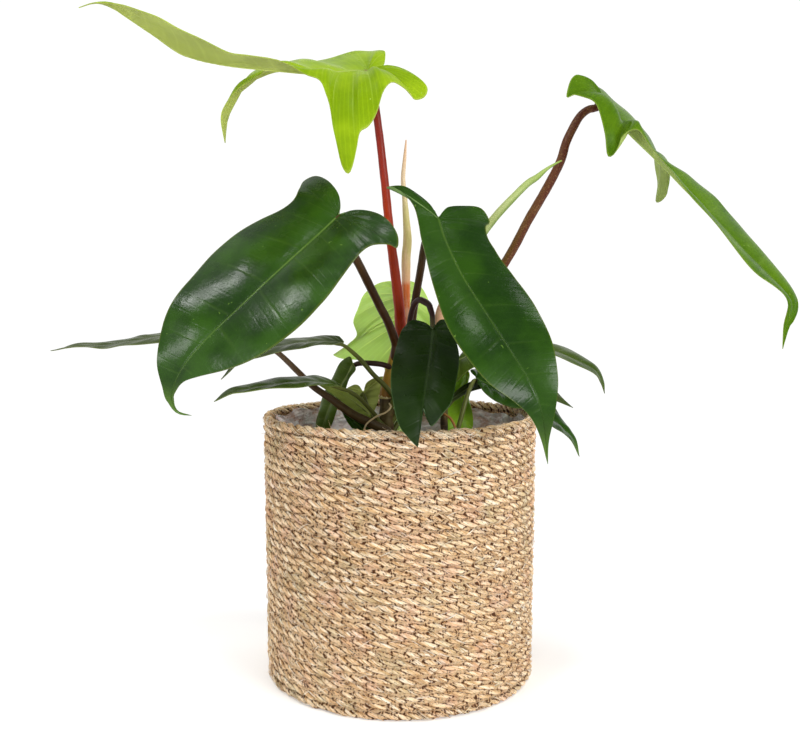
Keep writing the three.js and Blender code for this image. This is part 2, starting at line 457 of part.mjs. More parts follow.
// Stems and stalks, as paths of [x, y, z, radius]. A stalk starts in its stem and is cut clear of it.
const STALKS = [
  {
    name: 'main_stem',
    material: 'stem_bark',
    sides: STEM_SIDES,
    step: 12,
    path: [
      [-9, 1, 116, 4.8], [-9, 0, 133, 4.8], [-9, 0, 153, 4.8], [-9, 0, 170, 4.8], [-9, 0, 182, 4.6],
    ],
  },
  {
    name: 'second_stem',
    material: 'stem_bark',
    sides: STALK_SIDES,
    step: 17,
    path: [
      [30, 4, 116, 2.5], [30, 3, 138, 2.5], [30, 3, 156, 2.5], [29, 2, 178, 2.6], [27, 0, 203, 3],
    ],
  },
  {
    name: 'leaf_base_sheath',
    material: 'orange_sheath',
    sides: STEM_SIDES,
    step: 8,
    path: [
      [-9, 0, 182, 4.9], [-8, 0, 190, 4.6], [-6, 0, 200, 4], [-4, -1, 208, 3.4], [-3, -1, 216, 2.6],
    ],
  },
  {
    name: 'peach_sheath',
    material: 'peach_sheath',
    sides: STALK_SIDES,
    step: 13,
    path: [
      [27, 0, 203, 3.6], [26, -3, 217, 3.5], [26, -6, 233, 3.3], [27, -9, 241, 3.1],
      [30, -11, 247, 2.8],
    ],
  },
  {
    name: 'new_leaf_spear',
    material: 'young_leaf',
    sides: STALK_SIDES,
    step: 13,
    path: [
      [30, -11, 247, 2.7], [35, -14, 258, 2.8], [42, -18, 271, 2.8], [51, -22, 287, 2.7],
      [60, -25, 299, 2.6], [69, -28, 309, 2.4], [79, -30, 319, 2.2], [85, -32, 323, 1.9],
      [91, -33, 328, 1.1], [96, -34, 331, 0.7], [100, -34, 333, 0.4],
    ],
  },
  {
    name: 'stalk_upper_left',
    material: 'red_stalk',
    sides: STALK_SIDES,
    step: 17,
    carries: 'blade_upper_left',
    path: [
      [-6, 3, 194, 3.6], [-3, 6, 205, 3.9], [1, 6, 217, 3.8], [0, 3, 234, 3.7], [-1, -2, 247, 3.5],
      [-6, -5, 286, 3], [-10, -8, 324, 2.7], [-15, -11, 366, 2.5], [-20, -12, 389, 2.2],
    ],
  },
  {
    name: 'stalk_back',
    material: 'olive_stalk',
    sides: THIN_STALK_SIDES,
    step: 13,
    carries: 'blade_back',
    path: [
      [-6, 4, 192, 2.2], [1, 8, 203, 2.2], [0, 9, 217, 2.1], [-1, 10, 233, 2], [-1, 15, 245, 1.9],
      [-1, 21, 249, 1.8], [-1, 25, 250, 1.6],
    ],
  },
  {
    name: 'spear_sheath',
    material: 'orange_sheath',
    sides: STALK_SIDES,
    step: 17,
    path: [
      [-5, 4, 194, 2.6], [-1, 9, 203, 2.9], [1, 13, 212, 2.8], [3, 13, 223, 2.8], [4, 11, 244, 2.8],
      [4, 9, 262, 2.9], [4, 8, 275, 3.1], [5, 7, 287, 2.9], [4, 5, 302, 2.2], [3, 4, 315, 1.7],
      [2, 4, 327, 1.5], [3, 4, 339, 1.2], [4, 4, 352, 0.4],
    ],
  },
  {
    name: 'stalk_front_right',
    material: 'brown_stalk',
    sides: STALK_SIDES,
    step: 17,
    carries: 'blade_front_right',
    path: [
      [-3, 0, 196, 2.6], [4, -2, 206, 2.6], [6, -5, 217, 2.6], [8, -9, 234, 2.6], [10, -18, 248, 2.5],
      [13, -30, 266, 2.4], [15, -40, 280, 2.4], [18, -46, 288, 2.3], [22, -52, 296, 2.1],
    ],
  },
  {
    name: 'stalk_front_left',
    material: 'brown_stalk',
    sides: STALK_SIDES,
    step: 17,
    carries: 'blade_front_left',
    path: [
      [-4, -1, 206, 3], [-3, -3, 213, 3.1], [-3, -4, 219, 3], [-8, -12, 233, 2.8],
      [-13, -18, 243, 2.8], [-24, -34, 266, 2.7], [-31, -46, 280, 2.6], [-35, -60, 295, 2.3],
    ],
  },
  {
    name: 'stalk_front_centre',
    material: 'brown_stalk',
    sides: STALK_SIDES,
    step: 6,
    carries: 'blade_front_centre',
    path: [
      [-2, -1, 200, 1.8], [4, -5, 207, 1.8], [7, -9, 216, 1.8], [6, -15, 228, 1.8], [7, -20, 237, 1.8],
      [9, -24, 244, 1.9], [12, -28, 247, 2], [15, -32, 246, 2.1], [18, -36, 244, 2],
      [19, -39, 241, 1.9], [20, -42, 237, 1.7], [20, -44, 232, 1.5],
    ],
  },
  {
    name: 'stalk_upper_right',
    material: 'brown_stalk',
    sides: STALK_SIDES,
    step: 17,
    carries: 'blade_upper_right',
    path: [
      [-8, 2, 162, 2.8], [-3, 6, 171, 2.8], [4, 9, 181, 2.8], [17, 12, 198, 2.9], [40, 10, 227, 3],
      [69, 0, 271, 3], [85, -4, 301, 3], [96, -9, 321, 3], [103, -13, 336, 2.9], [106, -15, 347, 2.8],
      [110, -16, 356, 2.7], [114, -18, 363, 2.6], [119, -19, 367, 2.5], [124, -20, 368, 2.3],
      [127, -20, 372, 2],
    ],
  },
  {
    name: 'stalk_pale_right',
    material: 'olive_stalk',
    sides: THIN_STALK_SIDES,
    step: 12,
    carries: 'blade_pale_right',
    path: [
      [-8, 2, 152, 1.8], [-2, 6, 163, 1.8], [7, 10, 174, 1.8], [20, 14, 184, 1.8], [34, 19, 193, 1.7],
      [43, 21, 197, 1.5], [46, 27, 199, 1.5], [47, 30, 197, 1.3],
    ],
  },
  {
    name: 'stalk_low_right_under',
    material: 'olive_stalk',
    sides: THIN_STALK_SIDES,
    step: 12,
    carries: 'blade_low_right_under',
    path: [
      [-8, -1, 162, 1.9], [-1, 1, 172, 1.9], [8, 6, 181, 1.9], [20, 11, 194, 1.8], [31, 17, 202, 1.7],
      [38, 19, 205, 1.5],
    ],
  },
  {
    name: 'stalk_low_right',
    material: 'olive_stalk',
    sides: THIN_STALK_SIDES,
    step: 12,
    carries: 'blade_low_right',
    path: [
      [33, -5, 116, 1.8], [33, -4, 142, 1.8], [36, -3, 154, 1.7], [39, -1, 162, 1.6],
      [43, 2, 176, 1.6], [46, 5, 185, 1.5], [49, 8, 191, 1.5], [52, 10, 193, 1.3],
    ],
  },
  {
    name: 'stalk_low_right_side',
    material: 'olive_stalk',
    sides: THIN_STALK_SIDES,
    step: 8,
    carries: 'blade_low_right_side',
    path: [
      [30, 3, 150, 1.8], [30, 4, 158, 1.8], [30, 5, 166, 1.8], [31, 11, 174, 1.7], [32, 14, 176, 1.4],
    ],
  },
  {
    name: 'stalk_left_upper',
    material: 'olive_stalk',
    sides: THIN_STALK_SIDES,
    step: 12,
    carries: 'blade_left_upper',
    path: [
      [-8, -1, 172, 1.8], [-4, -5, 182, 1.8], [-7, -7, 187, 1.7], [-12, -10, 193, 1.6],
      [-17, -13, 198, 1.6], [-25, -18, 208, 1.5], [-32, -23, 215, 1.3], [-36, -26, 220, 1.1],
    ],
  },
  {
    name: 'stalk_left_lower',
    material: 'olive_stalk',
    sides: THIN_STALK_SIDES,
    step: 12,
    carries: 'blade_left_lower',
    path: [
      [-8, -2, 152, 1.7], [-8, -6, 160, 1.7], [-14, -8, 167, 1.6], [-16, -10, 171, 1.5],
      [-22, -17, 179, 1.4], [-26, -23, 184, 1.4], [-32, -29, 189, 1.3], [-37, -34, 193, 1.1],
    ],
  },
  {
    name: 'stalk_far_left',
    material: 'brown_stalk',
    sides: STALK_SIDES,
    step: 13,
    carries: 'blade_far_left',
    path: [
      [-8, -3, 150, 3.2], [-8, -10, 160, 3.2], [-17, -16, 166, 3.1], [-30, -20, 173, 2.9],
      [-44, -21, 183, 2.4], [-56, -18, 191, 2.1], [-66, -14, 200, 2], [-80, -6, 212, 1.8],
      [-96, 2, 222, 1.6], [-110, 6, 229, 1.3],
    ],
  },
  {
    name: 'stalk_inner_left',
    material: 'brown_stalk',
    sides: THIN_STALK_SIDES,
    step: 8,
    carries: 'blade_inner_left',
    path: [
      [-5, -1, 202, 1.9], [-13, -9, 205, 1.8], [-23, -13, 206, 1.8], [-29, -16, 205, 1.6],
    ],
  },
  {
    name: 'stalk_low_inner',
    material: 'olive_stalk',
    sides: THIN_STALK_SIDES,
    step: 8,
    carries: 'blade_low_inner',
    path: [
      [-8, 4, 156, 1.6], [-16, 5, 166, 1.5], [-18, 6, 170, 1.5], [-22, 9, 175, 1.4],
      [-25, 11, 183, 1.2],
    ],
  },
  {
    name: 'stalk_low_left',
    material: 'olive_stalk',
    sides: THIN_STALK_SIDES,
    step: 8,
    carries: 'blade_low_left',
    path: [
      [-8, -1, 158, 1.5], [-14, -3, 165, 1.4], [-17, -4, 169, 1.2], [-19, -4, 171, 1.1],
    ],
  },
  {
    name: 'stalk_low_front',
    material: 'olive_stalk',
    sides: THIN_STALK_SIDES,
    step: 8,
    carries: 'blade_low_front',
    path: [
      [-9, -1, 136, 1.4], [-14, -3, 144, 1.4], [-18, -4, 150, 1.3], [-21, -5, 155, 1.1],
    ],
  },
  {
    name: 'aerial_root',
    material: 'pale_root',
    sides: THIN_STALK_SIDES,
    step: 12,
    path: [
      [-8, -2, 179, 0.8], [-6, -10, 177, 0.8], [-9, -15, 174, 0.8], [-15, -20, 172, 0.8],
      [-21, -24, 168, 0.8], [-23, -24, 164, 0.8], [-26, -20, 156, 0.8], [-27, -16, 148, 0.8],
      [-27, -15, 136, 0.8], [-27, -14, 118, 0.8],
    ],
  },
  {
    name: 'tendril',
    material: 'brown_stalk',
    sides: THIN_STALK_SIDES,
    step: 12,
    path: [
      [29, 1, 170, 0.9], [30, -4, 171, 0.9], [34, -6, 168, 0.9], [37, -8, 161, 0.9],
      [38, -8, 153, 0.9], [38, -8, 144, 0.9], [38, -8, 130, 0.9], [38, -8, 118, 0.9],
    ],
  },
];

const wasm = await Module();
wasm.setup();

// Materials

function paint(name, colour, roughness, extra = {}) {
  return new THREE.MeshStandardMaterial({ name, color: colour, roughness, metalness: 0, ...extra });
}

const MATERIALS = {
  seagrass: paint('seagrass', 0xc9a87c, 0.9),
  clear_film: paint('clear_film', 0xdfe3e4, 0.2, { transparent: true, opacity: 0.35 }),
  black_pot: paint('black_pot', 0x2a2b2c, 0.6),
  soil: paint('soil', 0x3a2a20, 0.95),
  lime_leaf: paint('lime_leaf', 0x8fae2b, 0.35),
  bright_leaf: paint('bright_leaf', 0x5d9a2a, 0.35),
  dark_leaf: paint('dark_leaf', 0x2f6b22, 0.3),
  blue_leaf: paint('blue_leaf', 0x234a2c, 0.3),
  pale_leaf: paint('pale_leaf', 0x8db85a, 0.45),
  olive_leaf: paint('olive_leaf', 0x5f7a3c, 0.4),
  young_leaf: paint('young_leaf', 0x9cc25e, 0.4),
  red_stalk: paint('red_stalk', 0x9c3a22, 0.4),
  brown_stalk: paint('brown_stalk', 0x4a2b1c, 0.4),
  olive_stalk: paint('olive_stalk', 0x5d5a22, 0.4),
  stem_bark: paint('stem_bark', 0x5b4624, 0.6),
  orange_sheath: paint('orange_sheath', 0xb06a24, 0.5),
  peach_sheath: paint('peach_sheath', 0xe0a184, 0.5),
  pale_root: paint('pale_root', 0xc9ae84, 0.7),
};

// Points and curves

function point(list) {
  return new THREE.Vector3(list[0], list[1], list[2]);
}

function smoothCurve(points) {
  const curve = new THREE.CatmullRomCurve3(points.map(point), false, 'catmullrom', 0.5);
  curve.arcLengthDivisions = 400;
  return curve;
}

// Value of a list at share t of its length, smooth between entries
function blend(list, t, column) {
  const values = list.map((entry) => (column === undefined ? entry : entry[column]));
  const last = values.length - 1;
  const place = Math.min(Math.max(t, 0), 1) * last;
  const index = Math.min(Math.floor(place), last - 1);
  const w = place - index;
  const before = index > 0 ? values[index - 1] : 2 * values[0] - values[1];
  const after = index + 2 <= last ? values[index + 2] : 2 * values[last] - values[last - 1];
  const start = values[index];
  const end = values[index + 1];
  const slopeStart = (end - before) / 2;
  const slopeEnd = (after - start) / 2;
  const cubic = 2 * start - 2 * end + slopeStart + slopeEnd;
  const square = 3 * end - 3 * start - 2 * slopeStart - slopeEnd;
  return ((cubic * w + square) * w + slopeStart) * w + start;
}

// Midrib point, its direction and the way the upper face looks, at a share of the midrib
function ribFrame(leaf, share) {
  const here = leaf.curve.getPointAt(share);
  const ahead = leaf.curve.getPointAt(Math.min(share + 0.001, 1));
  const behind = leaf.curve.getPointAt(Math.max(share - 0.001, 0));
  const along = ahead.sub(behind).normalize();
  const face = new THREE.Vector3(...[0, 1, 2].map((axis) => blend(leaf.face, share, axis)));
  face.addScaledVector(along, -face.dot(along)).normalize();
  const across = along.clone().cross(face);
  return { here, along, face, across };
}

// Point of a leaf whose edge is given by shares of its length
function flatPoint(leaf, side, t, reach) {
  const outline = side > 0 ? leaf.left : leaf.right;
  const foot = Math.min(Math.max(blend(outline, t, 2), 0), 1);
  const frame = ribFrame(leaf, foot);
  const forward = (blend(outline, t, 0) - foot) * leaf.length;
  const outward = Math.max(blend(outline, t, 1), 0) * leaf.length;
  const rib = Math.max(Math.hypot(forward, outward), 1e-6);
  const direction = frame.along.clone().multiplyScalar(forward / rib);
  direction.addScaledVector(frame.across, (side * outward) / rib);
  const fold = THREE.MathUtils.degToRad(blend(leaf.fold, t));
  const curl = THREE.MathUtils.degToRad(blend(leaf.curl, t)) / 10;
  const distance = rib * reach;
  const flat = (Math.sin(fold) - Math.sin(fold - curl * distance)) / curl;
  const lift = (Math.cos(fold - curl * distance) - Math.cos(fold)) / curl;
  return frame.here.clone().addScaledVector(direction, flat).addScaledVector(frame.face, lift);
}

// Point of a leaf whose edge is given by places in millimetres
function edgePoint(leaf, side, t, reach) {
  const edge = side > 0 ? leaf.left : leaf.right;
  const foot = Math.min(Math.max(blend(edge, t, 3), 0), 1);
  const frame = ribFrame(leaf, foot);
  const end = new THREE.Vector3(blend(edge, t, 0), blend(edge, t, 1), blend(edge, t, 2));
  const chord = end.clone().sub(frame.here);
  const length = Math.max(chord.length(), 1e-6);
  const unit = chord.clone().divideScalar(length);
  const lift = frame.face.clone().addScaledVector(unit, -frame.face.dot(unit)).normalize();
  const bow = Math.min(blend(edge, t, 4), length / 2) * 4 * reach * (1 - reach);
  return frame.here.clone().addScaledVector(chord, reach).addScaledVector(lift, bow);
}

function footShare(leaf, side, t) {
  const outline = side > 0 ? leaf.left : leaf.right;
  return Math.min(Math.max(blend(outline, t, leaf.flat ? 2 : 3), 0), 1);
}

// Leaf blades

// Triangles between the midrib and the first column of one half, both in order from stalk to tip
function zipTriangles(rows, shares, rib, column, add) {
  let j = 0;
  let i = 1;
  while (j < rows || i < rows) {
    const ribNext = (j + 1) / rows;
    const columnNext = i < rows ? shares[i + 1] : 2;
    const columnTurn = i < rows - 1 && columnNext <= ribNext;
    if (j === rows || columnTurn) {
      if (i + 1 < rows) {
        add(rib(j), column(i), column(i + 1));
      }
      i += 1;
    } else {
      add(rib(j), column(i), rib(j + 1));
      j += 1;
    }
  }
}

// Upper sheet of a leaf: its points, its triangles and its edge loop. The edge is moved out by spread.
function leafSheet(leaf, spread) {
  const rows = leaf.rows;
  const columns = leaf.columns;
  const points = [];
  const triangles = [];
  for (let j = 0; j <= rows; j += 1) {
    points.push(leaf.curve.getPointAt(j / rows));
  }
  const rib = (j) => j;
  const edges = [];
  for (const side of [1, -1]) {
    const place = leaf.flat ? flatPoint : edgePoint;
    const start = points.length;
    const shares = [];
    for (let i = 0; i <= rows; i += 1) {
      shares.push(footShare(leaf, side, i / rows));
      if (i > 0 && i < rows) {
        for (let k = 1; k <= columns; k += 1) {
          points.push(place(leaf, side, i / rows, k / columns));
        }
      }
    }
    const cell = (i, k) => {
      if (i === 0) {
        return 0;
      }
      return i === rows ? rows : start + (i - 1) * columns + (k - 1);
    };
    const add = (a, b, c) => {
      triangles.push(side > 0 ? [a, b, c] : [a, c, b]);
    };
    zipTriangles(rows, shares, rib, (i) => cell(i, 1), add);
    for (let i = 0; i < rows; i += 1) {
      for (let k = 1; k < columns; k += 1) {
        if (i > 0) {
          add(cell(i, k), cell(i, k + 1), cell(i + 1, k + 1));
        } else {
          add(0, cell(1, k + 1), cell(1, k));
        }
        if (i > 0 && i < rows - 1) {
          add(cell(i, k), cell(i + 1, k + 1), cell(i + 1, k));
        }
      }
    }
    const edge = [];
    for (let i = 1; i < rows; i += 1) {
      edge.push(cell(i, columns));
    }
    edges.push(edge);
  }
  if (spread > 0) {
    for (const n of edges.flat()) {
      const inner = columns > 1 ? points[n - 1] : points[Math.round(rows / 2)];
      points[n].addScaledVector(points[n].clone().sub(inner).normalize(), spread);
    }
    points[0].addScaledVector(ribFrame(leaf, 0).along, -spread);
    points[rows].addScaledVector(ribFrame(leaf, 1).along, spread);
  }
  const loop = [0, ...edges[0], rows, ...edges[1].reverse()];
  return { points, triangles, loop };
}

// Smooth normal at each point of a sheet
function sheetNormals(points, triangles) {
  const normals = points.map(() => new THREE.Vector3());
  for (const [a, b, c] of triangles) {
    const one = points[b].clone().sub(points[a]);
    const two = points[c].clone().sub(points[a]);
    const cross = one.cross(two);
    normals[a].add(cross);
    normals[b].add(cross);
    normals[c].add(cross);
  }
  return normals.map((normal) => normal.normalize());
}

// Closed blade, between the upper sheet raised by extra and a lower sheet. Extra also widens it all round.
function bladeGeometry(leaf, extra = 0) {
  const sheet = leafSheet(leaf, extra);
  const normals = sheetNormals(sheet.points, sheet.triangles);
  const count = sheet.points.length;
  const positions = [];
  const indices = [];
  for (const offset of [extra, -LEAF_THICKNESS - extra]) {
    sheet.points.forEach((p, n) => {
      positions.push(...p.clone().addScaledVector(normals[n], offset).toArray());
    });
  }
  for (const [a, b, c] of sheet.triangles) {
    indices.push(a, b, c);
    indices.push(a + count, c + count, b + count);
  }
  sheet.loop.forEach((a, n) => {
    const b = sheet.loop[(n + 1) % sheet.loop.length];
    indices.push(a, a + count, b + count);
    indices.push(a, b + count, b);
  });
  return indexedGeometry(positions, indices);
}

function indexedGeometry(positions, indices) {
  const geometry = new THREE.BufferGeometry();
  geometry.setAttribute('position', new THREE.Float32BufferAttribute(positions, 3));
  geometry.setIndex(indices);
  geometry.computeVertexNormals();
  return geometry;
}

// Stalks and stems

// Closed round stalk along a list of [x, y, z, radius], thickened by extra
function stalkGeometry(path, sides, extra, step) {
  const curve = smoothCurve(path);
  const count = Math.max(2, Math.round(curve.getLength() / step));
  const positions = [];
  const indices = [];
  let across = null;
  for (let n = 0; n <= count; n += 1) {
    const share = n / count;
    const t = curve.getUtoTmapping(share);
    const centre = curve.getPoint(t);
    const along = curve.getTangent(t);
    if (n === 0) {
      centre.addScaledVector(along, -extra);
    }
    if (n === count) {
      centre.addScaledVector(along, extra);
    }
    if (across === null) {
      across = Math.abs(along.x) < 0.8 ? new THREE.Vector3(1, 0, 0) : new THREE.Vector3(0, 1, 0);
    }
    across = across.clone().addScaledVector(along, -across.dot(along)).normalize();
    const other = along.clone().cross(across);
    const radius = blend(path, t, 3) + extra;
    for (let k = 0; k < sides; k += 1) {
      const angle = (2 * Math.PI * k) / sides;
      const p = centre.clone();
      p.addScaledVector(across, radius * Math.cos(angle));
      p.addScaledVector(other, radius * Math.sin(angle));
      positions.push(...p.toArray());
    }
  }
  for (let n = 0; n < count; n += 1) {
    for (let k = 0; k < sides; k += 1) {
      const a = n * sides + k;
      const b = n * sides + ((k + 1) % sides);
      indices.push(a, b, b + sides, a, b + sides, a + sides);
    }
  }
  const top = count * sides;
  for (let k = 1; k < sides - 1; k += 1) {
    indices.push(0, k + 1, k);
    indices.push(top, top + k, top + k + 1);
  }
  return indexedGeometry(positions, indices);
}

// Cutting and joining of closed bodies

function solidOf(geometry) {
  const mesh = new wasm.Mesh({
    numProp: 3,
    vertProperties: new Float32Array(geometry.getAttribute('position').array),
    triVerts: new Uint32Array(geometry.getIndex().array),
  });
  return new wasm.Manifold(mesh);
}

function geometryOf(solid) {
  const mesh = solid.getMesh();
  return indexedGeometry(Array.from(mesh.vertProperties), Array.from(mesh.triVerts));
}

// Largest single body of a solid
function largestBody(solid) {
  const bodies = solid.decompose();
  bodies.sort((a, b) => b.volume() - a.volume());
  return bodies[0];
}

function boxesMeet(a, b) {
  const one = a.boundingBox();
  const two = b.boundingBox();
  return [0, 1, 2].every((n) => one.min[n] < two.max[n] && two.min[n] < one.max[n]);
}

// Solid with every cutter that reaches it taken away
function cutClear(solid, cutters) {
  let result = solid;
  for (const cutter of cutters) {
    if (boxesMeet(result, cutter)) {
      const rest = result.subtract(cutter);
      if (Math.abs(rest.volume() - result.volume()) > 0.001) {
        result = rest;
      }
    }
  }
  return largestBody(result);
}

// Basket, liner, pot and soil

// Closed body turned about Z from a profile of [radius, height]; points on the axis are shared
function turnedGeometry(profile, sides = ROUND_SIDES) {
  const positions = [];
  const indices = [];
  const starts = [];
  for (const [radius, height] of profile) {
    starts.push(positions.length / 3);
    const ring = radius === 0 ? 1 : sides;
    for (let k = 0; k < ring; k += 1) {
      const angle = (2 * Math.PI * k) / sides;
      positions.push(radius * Math.cos(angle), radius * Math.sin(angle), height);
    }
  }
  profile.forEach((entry, n) => {
    const next = (n + 1) % profile.length;
    const onAxis = profile[n][0] === 0;
    const nextOnAxis = profile[next][0] === 0;
    if (onAxis && nextOnAxis) {
      return;
    }
    for (let k = 0; k < sides; k += 1) {
      const m = (k + 1) % sides;
      const a = starts[n] + (onAxis ? 0 : k);
      const b = starts[n] + (onAxis ? 0 : m);
      const c = starts[next] + (nextOnAxis ? 0 : m);
      const d = starts[next] + (nextOnAxis ? 0 : k);
      if (!onAxis) {
        indices.push(a, b, c);
      }
      if (!nextOnAxis) {
        indices.push(a, c, d);
      }
    }
  });
  return indexedGeometry(positions, indices);
}

// Woven basket: stacked rope rows outside, a straight wall inside and a flat base
function basketGeometry() {
  const profile = [[0, 0], [BASKET_FOOT_RADIUS, 0]];
  const pitch = BASKET_HEIGHT / ROPE_ROWS;
  for (let row = 0; row < ROPE_ROWS; row += 1) {
    const middle = (row + 0.5) * pitch;
    const radius = BASKET_BASE_RADIUS + (BASKET_TOP_RADIUS - BASKET_BASE_RADIUS) * (middle / BASKET_HEIGHT);
    if (row > 0) {
      profile.push([radius, row * pitch]);
    }
    profile.push([radius + ROPE_BULGE, middle]);
  }
  profile.push([BASKET_TOP_RADIUS, BASKET_HEIGHT - 0.6]);
  profile.push([BASKET_TOP_RADIUS - 2.1, BASKET_HEIGHT]);
  profile.push([BASKET_INNER_RADIUS, BASKET_HEIGHT - 2]);
  profile.push([BASKET_INNER_RADIUS, BASKET_FLOOR]);
  profile.push([0, BASKET_FLOOR]);
  return turnedGeometry(profile);
}

function linerGeometry() {
  const floor = BASKET_FLOOR + GAP;
  const inside = LINER_RADIUS - LINER_THICKNESS;
  return turnedGeometry([
    [0, floor],
    [LINER_RADIUS, floor],
    [LINER_RADIUS, LINER_TOP],
    [inside, LINER_TOP],
    [inside, floor + LINER_THICKNESS],
    [0, floor + LINER_THICKNESS],
  ]);
}

function potGeometry() {
  const foot = BASKET_FLOOR + LINER_THICKNESS + 2 * GAP;
  return turnedGeometry([
    [0, foot],
    [POT_BASE_RADIUS, foot],
    [POT_TOP_RADIUS, POT_TOP - 4],
    [POT_TOP_RADIUS + POT_LIP, POT_TOP - 4],
    [POT_TOP_RADIUS + POT_LIP, POT_TOP],
    [POT_TOP_RADIUS - POT_WALL, POT_TOP],
    [POT_BASE_RADIUS - POT_WALL, foot + POT_WALL],
    [0, foot + POT_WALL],
  ]);
}

// Inner radius of the pot's wall at a height
function potInside(height) {
  const foot = BASKET_FLOOR + LINER_THICKNESS + 2 * GAP + POT_WALL;
  const share = (height - foot) / (POT_TOP - foot);
  return POT_BASE_RADIUS - POT_WALL + (POT_TOP_RADIUS - POT_BASE_RADIUS) * share;
}

// Soil with a gently uneven top, filling the pot
function soilGeometry() {
  const bottom = BASKET_FLOOR + LINER_THICKNESS + 2 * GAP + POT_WALL + GAP;
  const positions = [0, 0, bottom];
  const indices = [];
  const rings = [[potInside(bottom) - 2 * GAP, bottom]];
  for (let ring = SOIL_RINGS; ring > 0; ring -= 1) {
    rings.push([((potInside(SOIL_TOP - 3) - 2 * GAP) * ring) / SOIL_RINGS, SOIL_TOP]);
  }
  rings.forEach(([radius, height], n) => {
    for (let k = 0; k < ROUND_SIDES; k += 1) {
      const angle = (2 * Math.PI * k) / ROUND_SIDES;
      let bump = SOIL_BUMP * Math.sin(5 * angle + 2.1 * n) * Math.cos(3 * angle - n);
      if (n === 0) {
        bump = 0;
      } else if (n === 1) {
        bump = -SOIL_EDGE_DROP;
      }
      positions.push(radius * Math.cos(angle), radius * Math.sin(angle), height + bump);
    }
  });
  positions.push(0, 0, SOIL_TOP + 0.5);
  const last = positions.length / 3 - 1;
  for (let k = 0; k < ROUND_SIDES; k += 1) {
    const m = (k + 1) % ROUND_SIDES;
    indices.push(0, 1 + m, 1 + k);
    for (let n = 0; n < rings.length - 1; n += 1) {
      const a = 1 + n * ROUND_SIDES;
      const b = a + ROUND_SIDES;
      indices.push(a + k, a + m, b + m, a + k, b + m, b + k);
    }
    const top = 1 + (rings.length - 1) * ROUND_SIDES;
    indices.push(top + k, top + m, last);
  }
  return indexedGeometry(positions, indices);
}

// The whole plant

const plant = new THREE.Group();
plant.name = 'potted_philodendron';

function addPiece(name, geometry, material) {
  const mesh = new THREE.Mesh(geometry, MATERIALS[material].clone());
  mesh.name = name;
  plant.add(mesh);
}

function prepareLeaf(leaf) {
  leaf.curve = smoothCurve(leaf.midrib);
  leaf.length = leaf.curve.getLength();
}

// A stalk runs on for a short way under the midrib of the leaf that it carries
function stalkPath(stalk) {
  const leaf = LEAVES.find((entry) => entry.name === stalk.carries);
  if (leaf === undefined) {
    return stalk.path;
  }
  const radius = stalk.path[stalk.path.length - 1][3];
  const path = stalk.path.slice(0, -1);
  for (const [distance, share] of [[0, 1], [3, 0.8], [STALK_RUN_UNDER, 0.4]]) {
    const frame = ribFrame(leaf, distance / leaf.length);
    const place = frame.here.addScaledVector(frame.face, -LEAF_THICKNESS - 0.5 * radius * share);
    path.push([...place.toArray(), radius * share]);
  }
  return path;
}

function buildPlant() {
  LEAVES.forEach(prepareLeaf);
  addPiece('seagrass_basket', basketGeometry(), 'seagrass');
  addPiece('liner_film', linerGeometry(), 'clear_film');
  addPiece('nursery_pot', potGeometry(), 'black_pot');

  const cutters = [];
  const stalks = [];
  for (const stalk of STALKS) {
    const own = LEAVES.filter((leaf) => stalk.carries === leaf.name);
    const bladeCutters = own.map((leaf) => solidOf(bladeGeometry(leaf, BLADE_CLEARANCE)));
    const path = stalkPath(stalk);
    const solid = solidOf(stalkGeometry(path, stalk.sides, 0, stalk.step));
    const clear = cutClear(solid, [...cutters, ...bladeCutters]);
    cutters.push(solidOf(stalkGeometry(path, stalk.sides, GAP, stalk.step)));
    stalks.push([stalk, clear]);
  }
  const soil = cutClear(solidOf(soilGeometry()), cutters);
  addPiece('potting_soil', geometryOf(soil), 'soil');
  for (const [stalk, solid] of stalks) {
    addPiece(stalk.name, geometryOf(solid), stalk.material);
  }
  for (const leaf of LEAVES) {
    addPiece(leaf.name, bladeGeometry(leaf), leaf.material);
  }
}

buildPlant();

export default plant;
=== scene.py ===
import math
import random

import bpy
import numpy as np
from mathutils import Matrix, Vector


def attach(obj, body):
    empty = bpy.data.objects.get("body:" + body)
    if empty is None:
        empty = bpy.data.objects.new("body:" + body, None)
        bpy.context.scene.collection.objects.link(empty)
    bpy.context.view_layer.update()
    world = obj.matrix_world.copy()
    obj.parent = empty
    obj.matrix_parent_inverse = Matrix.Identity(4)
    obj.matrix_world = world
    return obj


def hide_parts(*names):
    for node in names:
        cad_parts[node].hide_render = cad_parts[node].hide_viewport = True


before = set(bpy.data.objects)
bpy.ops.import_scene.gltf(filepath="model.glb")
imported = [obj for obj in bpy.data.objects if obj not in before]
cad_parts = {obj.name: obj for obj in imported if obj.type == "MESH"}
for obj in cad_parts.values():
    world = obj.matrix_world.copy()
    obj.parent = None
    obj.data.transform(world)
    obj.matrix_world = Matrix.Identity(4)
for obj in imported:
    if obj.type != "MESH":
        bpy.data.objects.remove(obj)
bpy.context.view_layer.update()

# A potted philodendron in a woven seagrass basket. Lengths are in millimetres until a mesh is made.
MM = 0.001

# Basket
BASKET_HEIGHT = 172.0
BASKET_TOP_RADIUS = 90.0
BASKET_BASE_RADIUS = 88.6
BASKET_FLOOR = 6.0
FLOOR_RADIUS = 85.0
FLOOR_COILS = 15

# Wall inside the ropes, as (radius, height), from the outer foot up and down to the inner foot
WALL_PROFILE = [
    (86.4, 4.0), (87.0, 10.0), (87.9, 160.0), (87.4, 168.5), (86.4, 168.5), (86.0, 160.0), (85.2, 10.0),
]
WALL_FOOT_RADIUS = 84.0
WALL_SIDES = 120

# One coil of the floor's underside, as (share of its width, height), and the top of that underside
COIL_SECTION = ((0.15, 0.5), (0.5, 0.0), (0.85, 0.5), (1.0, 1.3))
COIL_TOP = 1.31

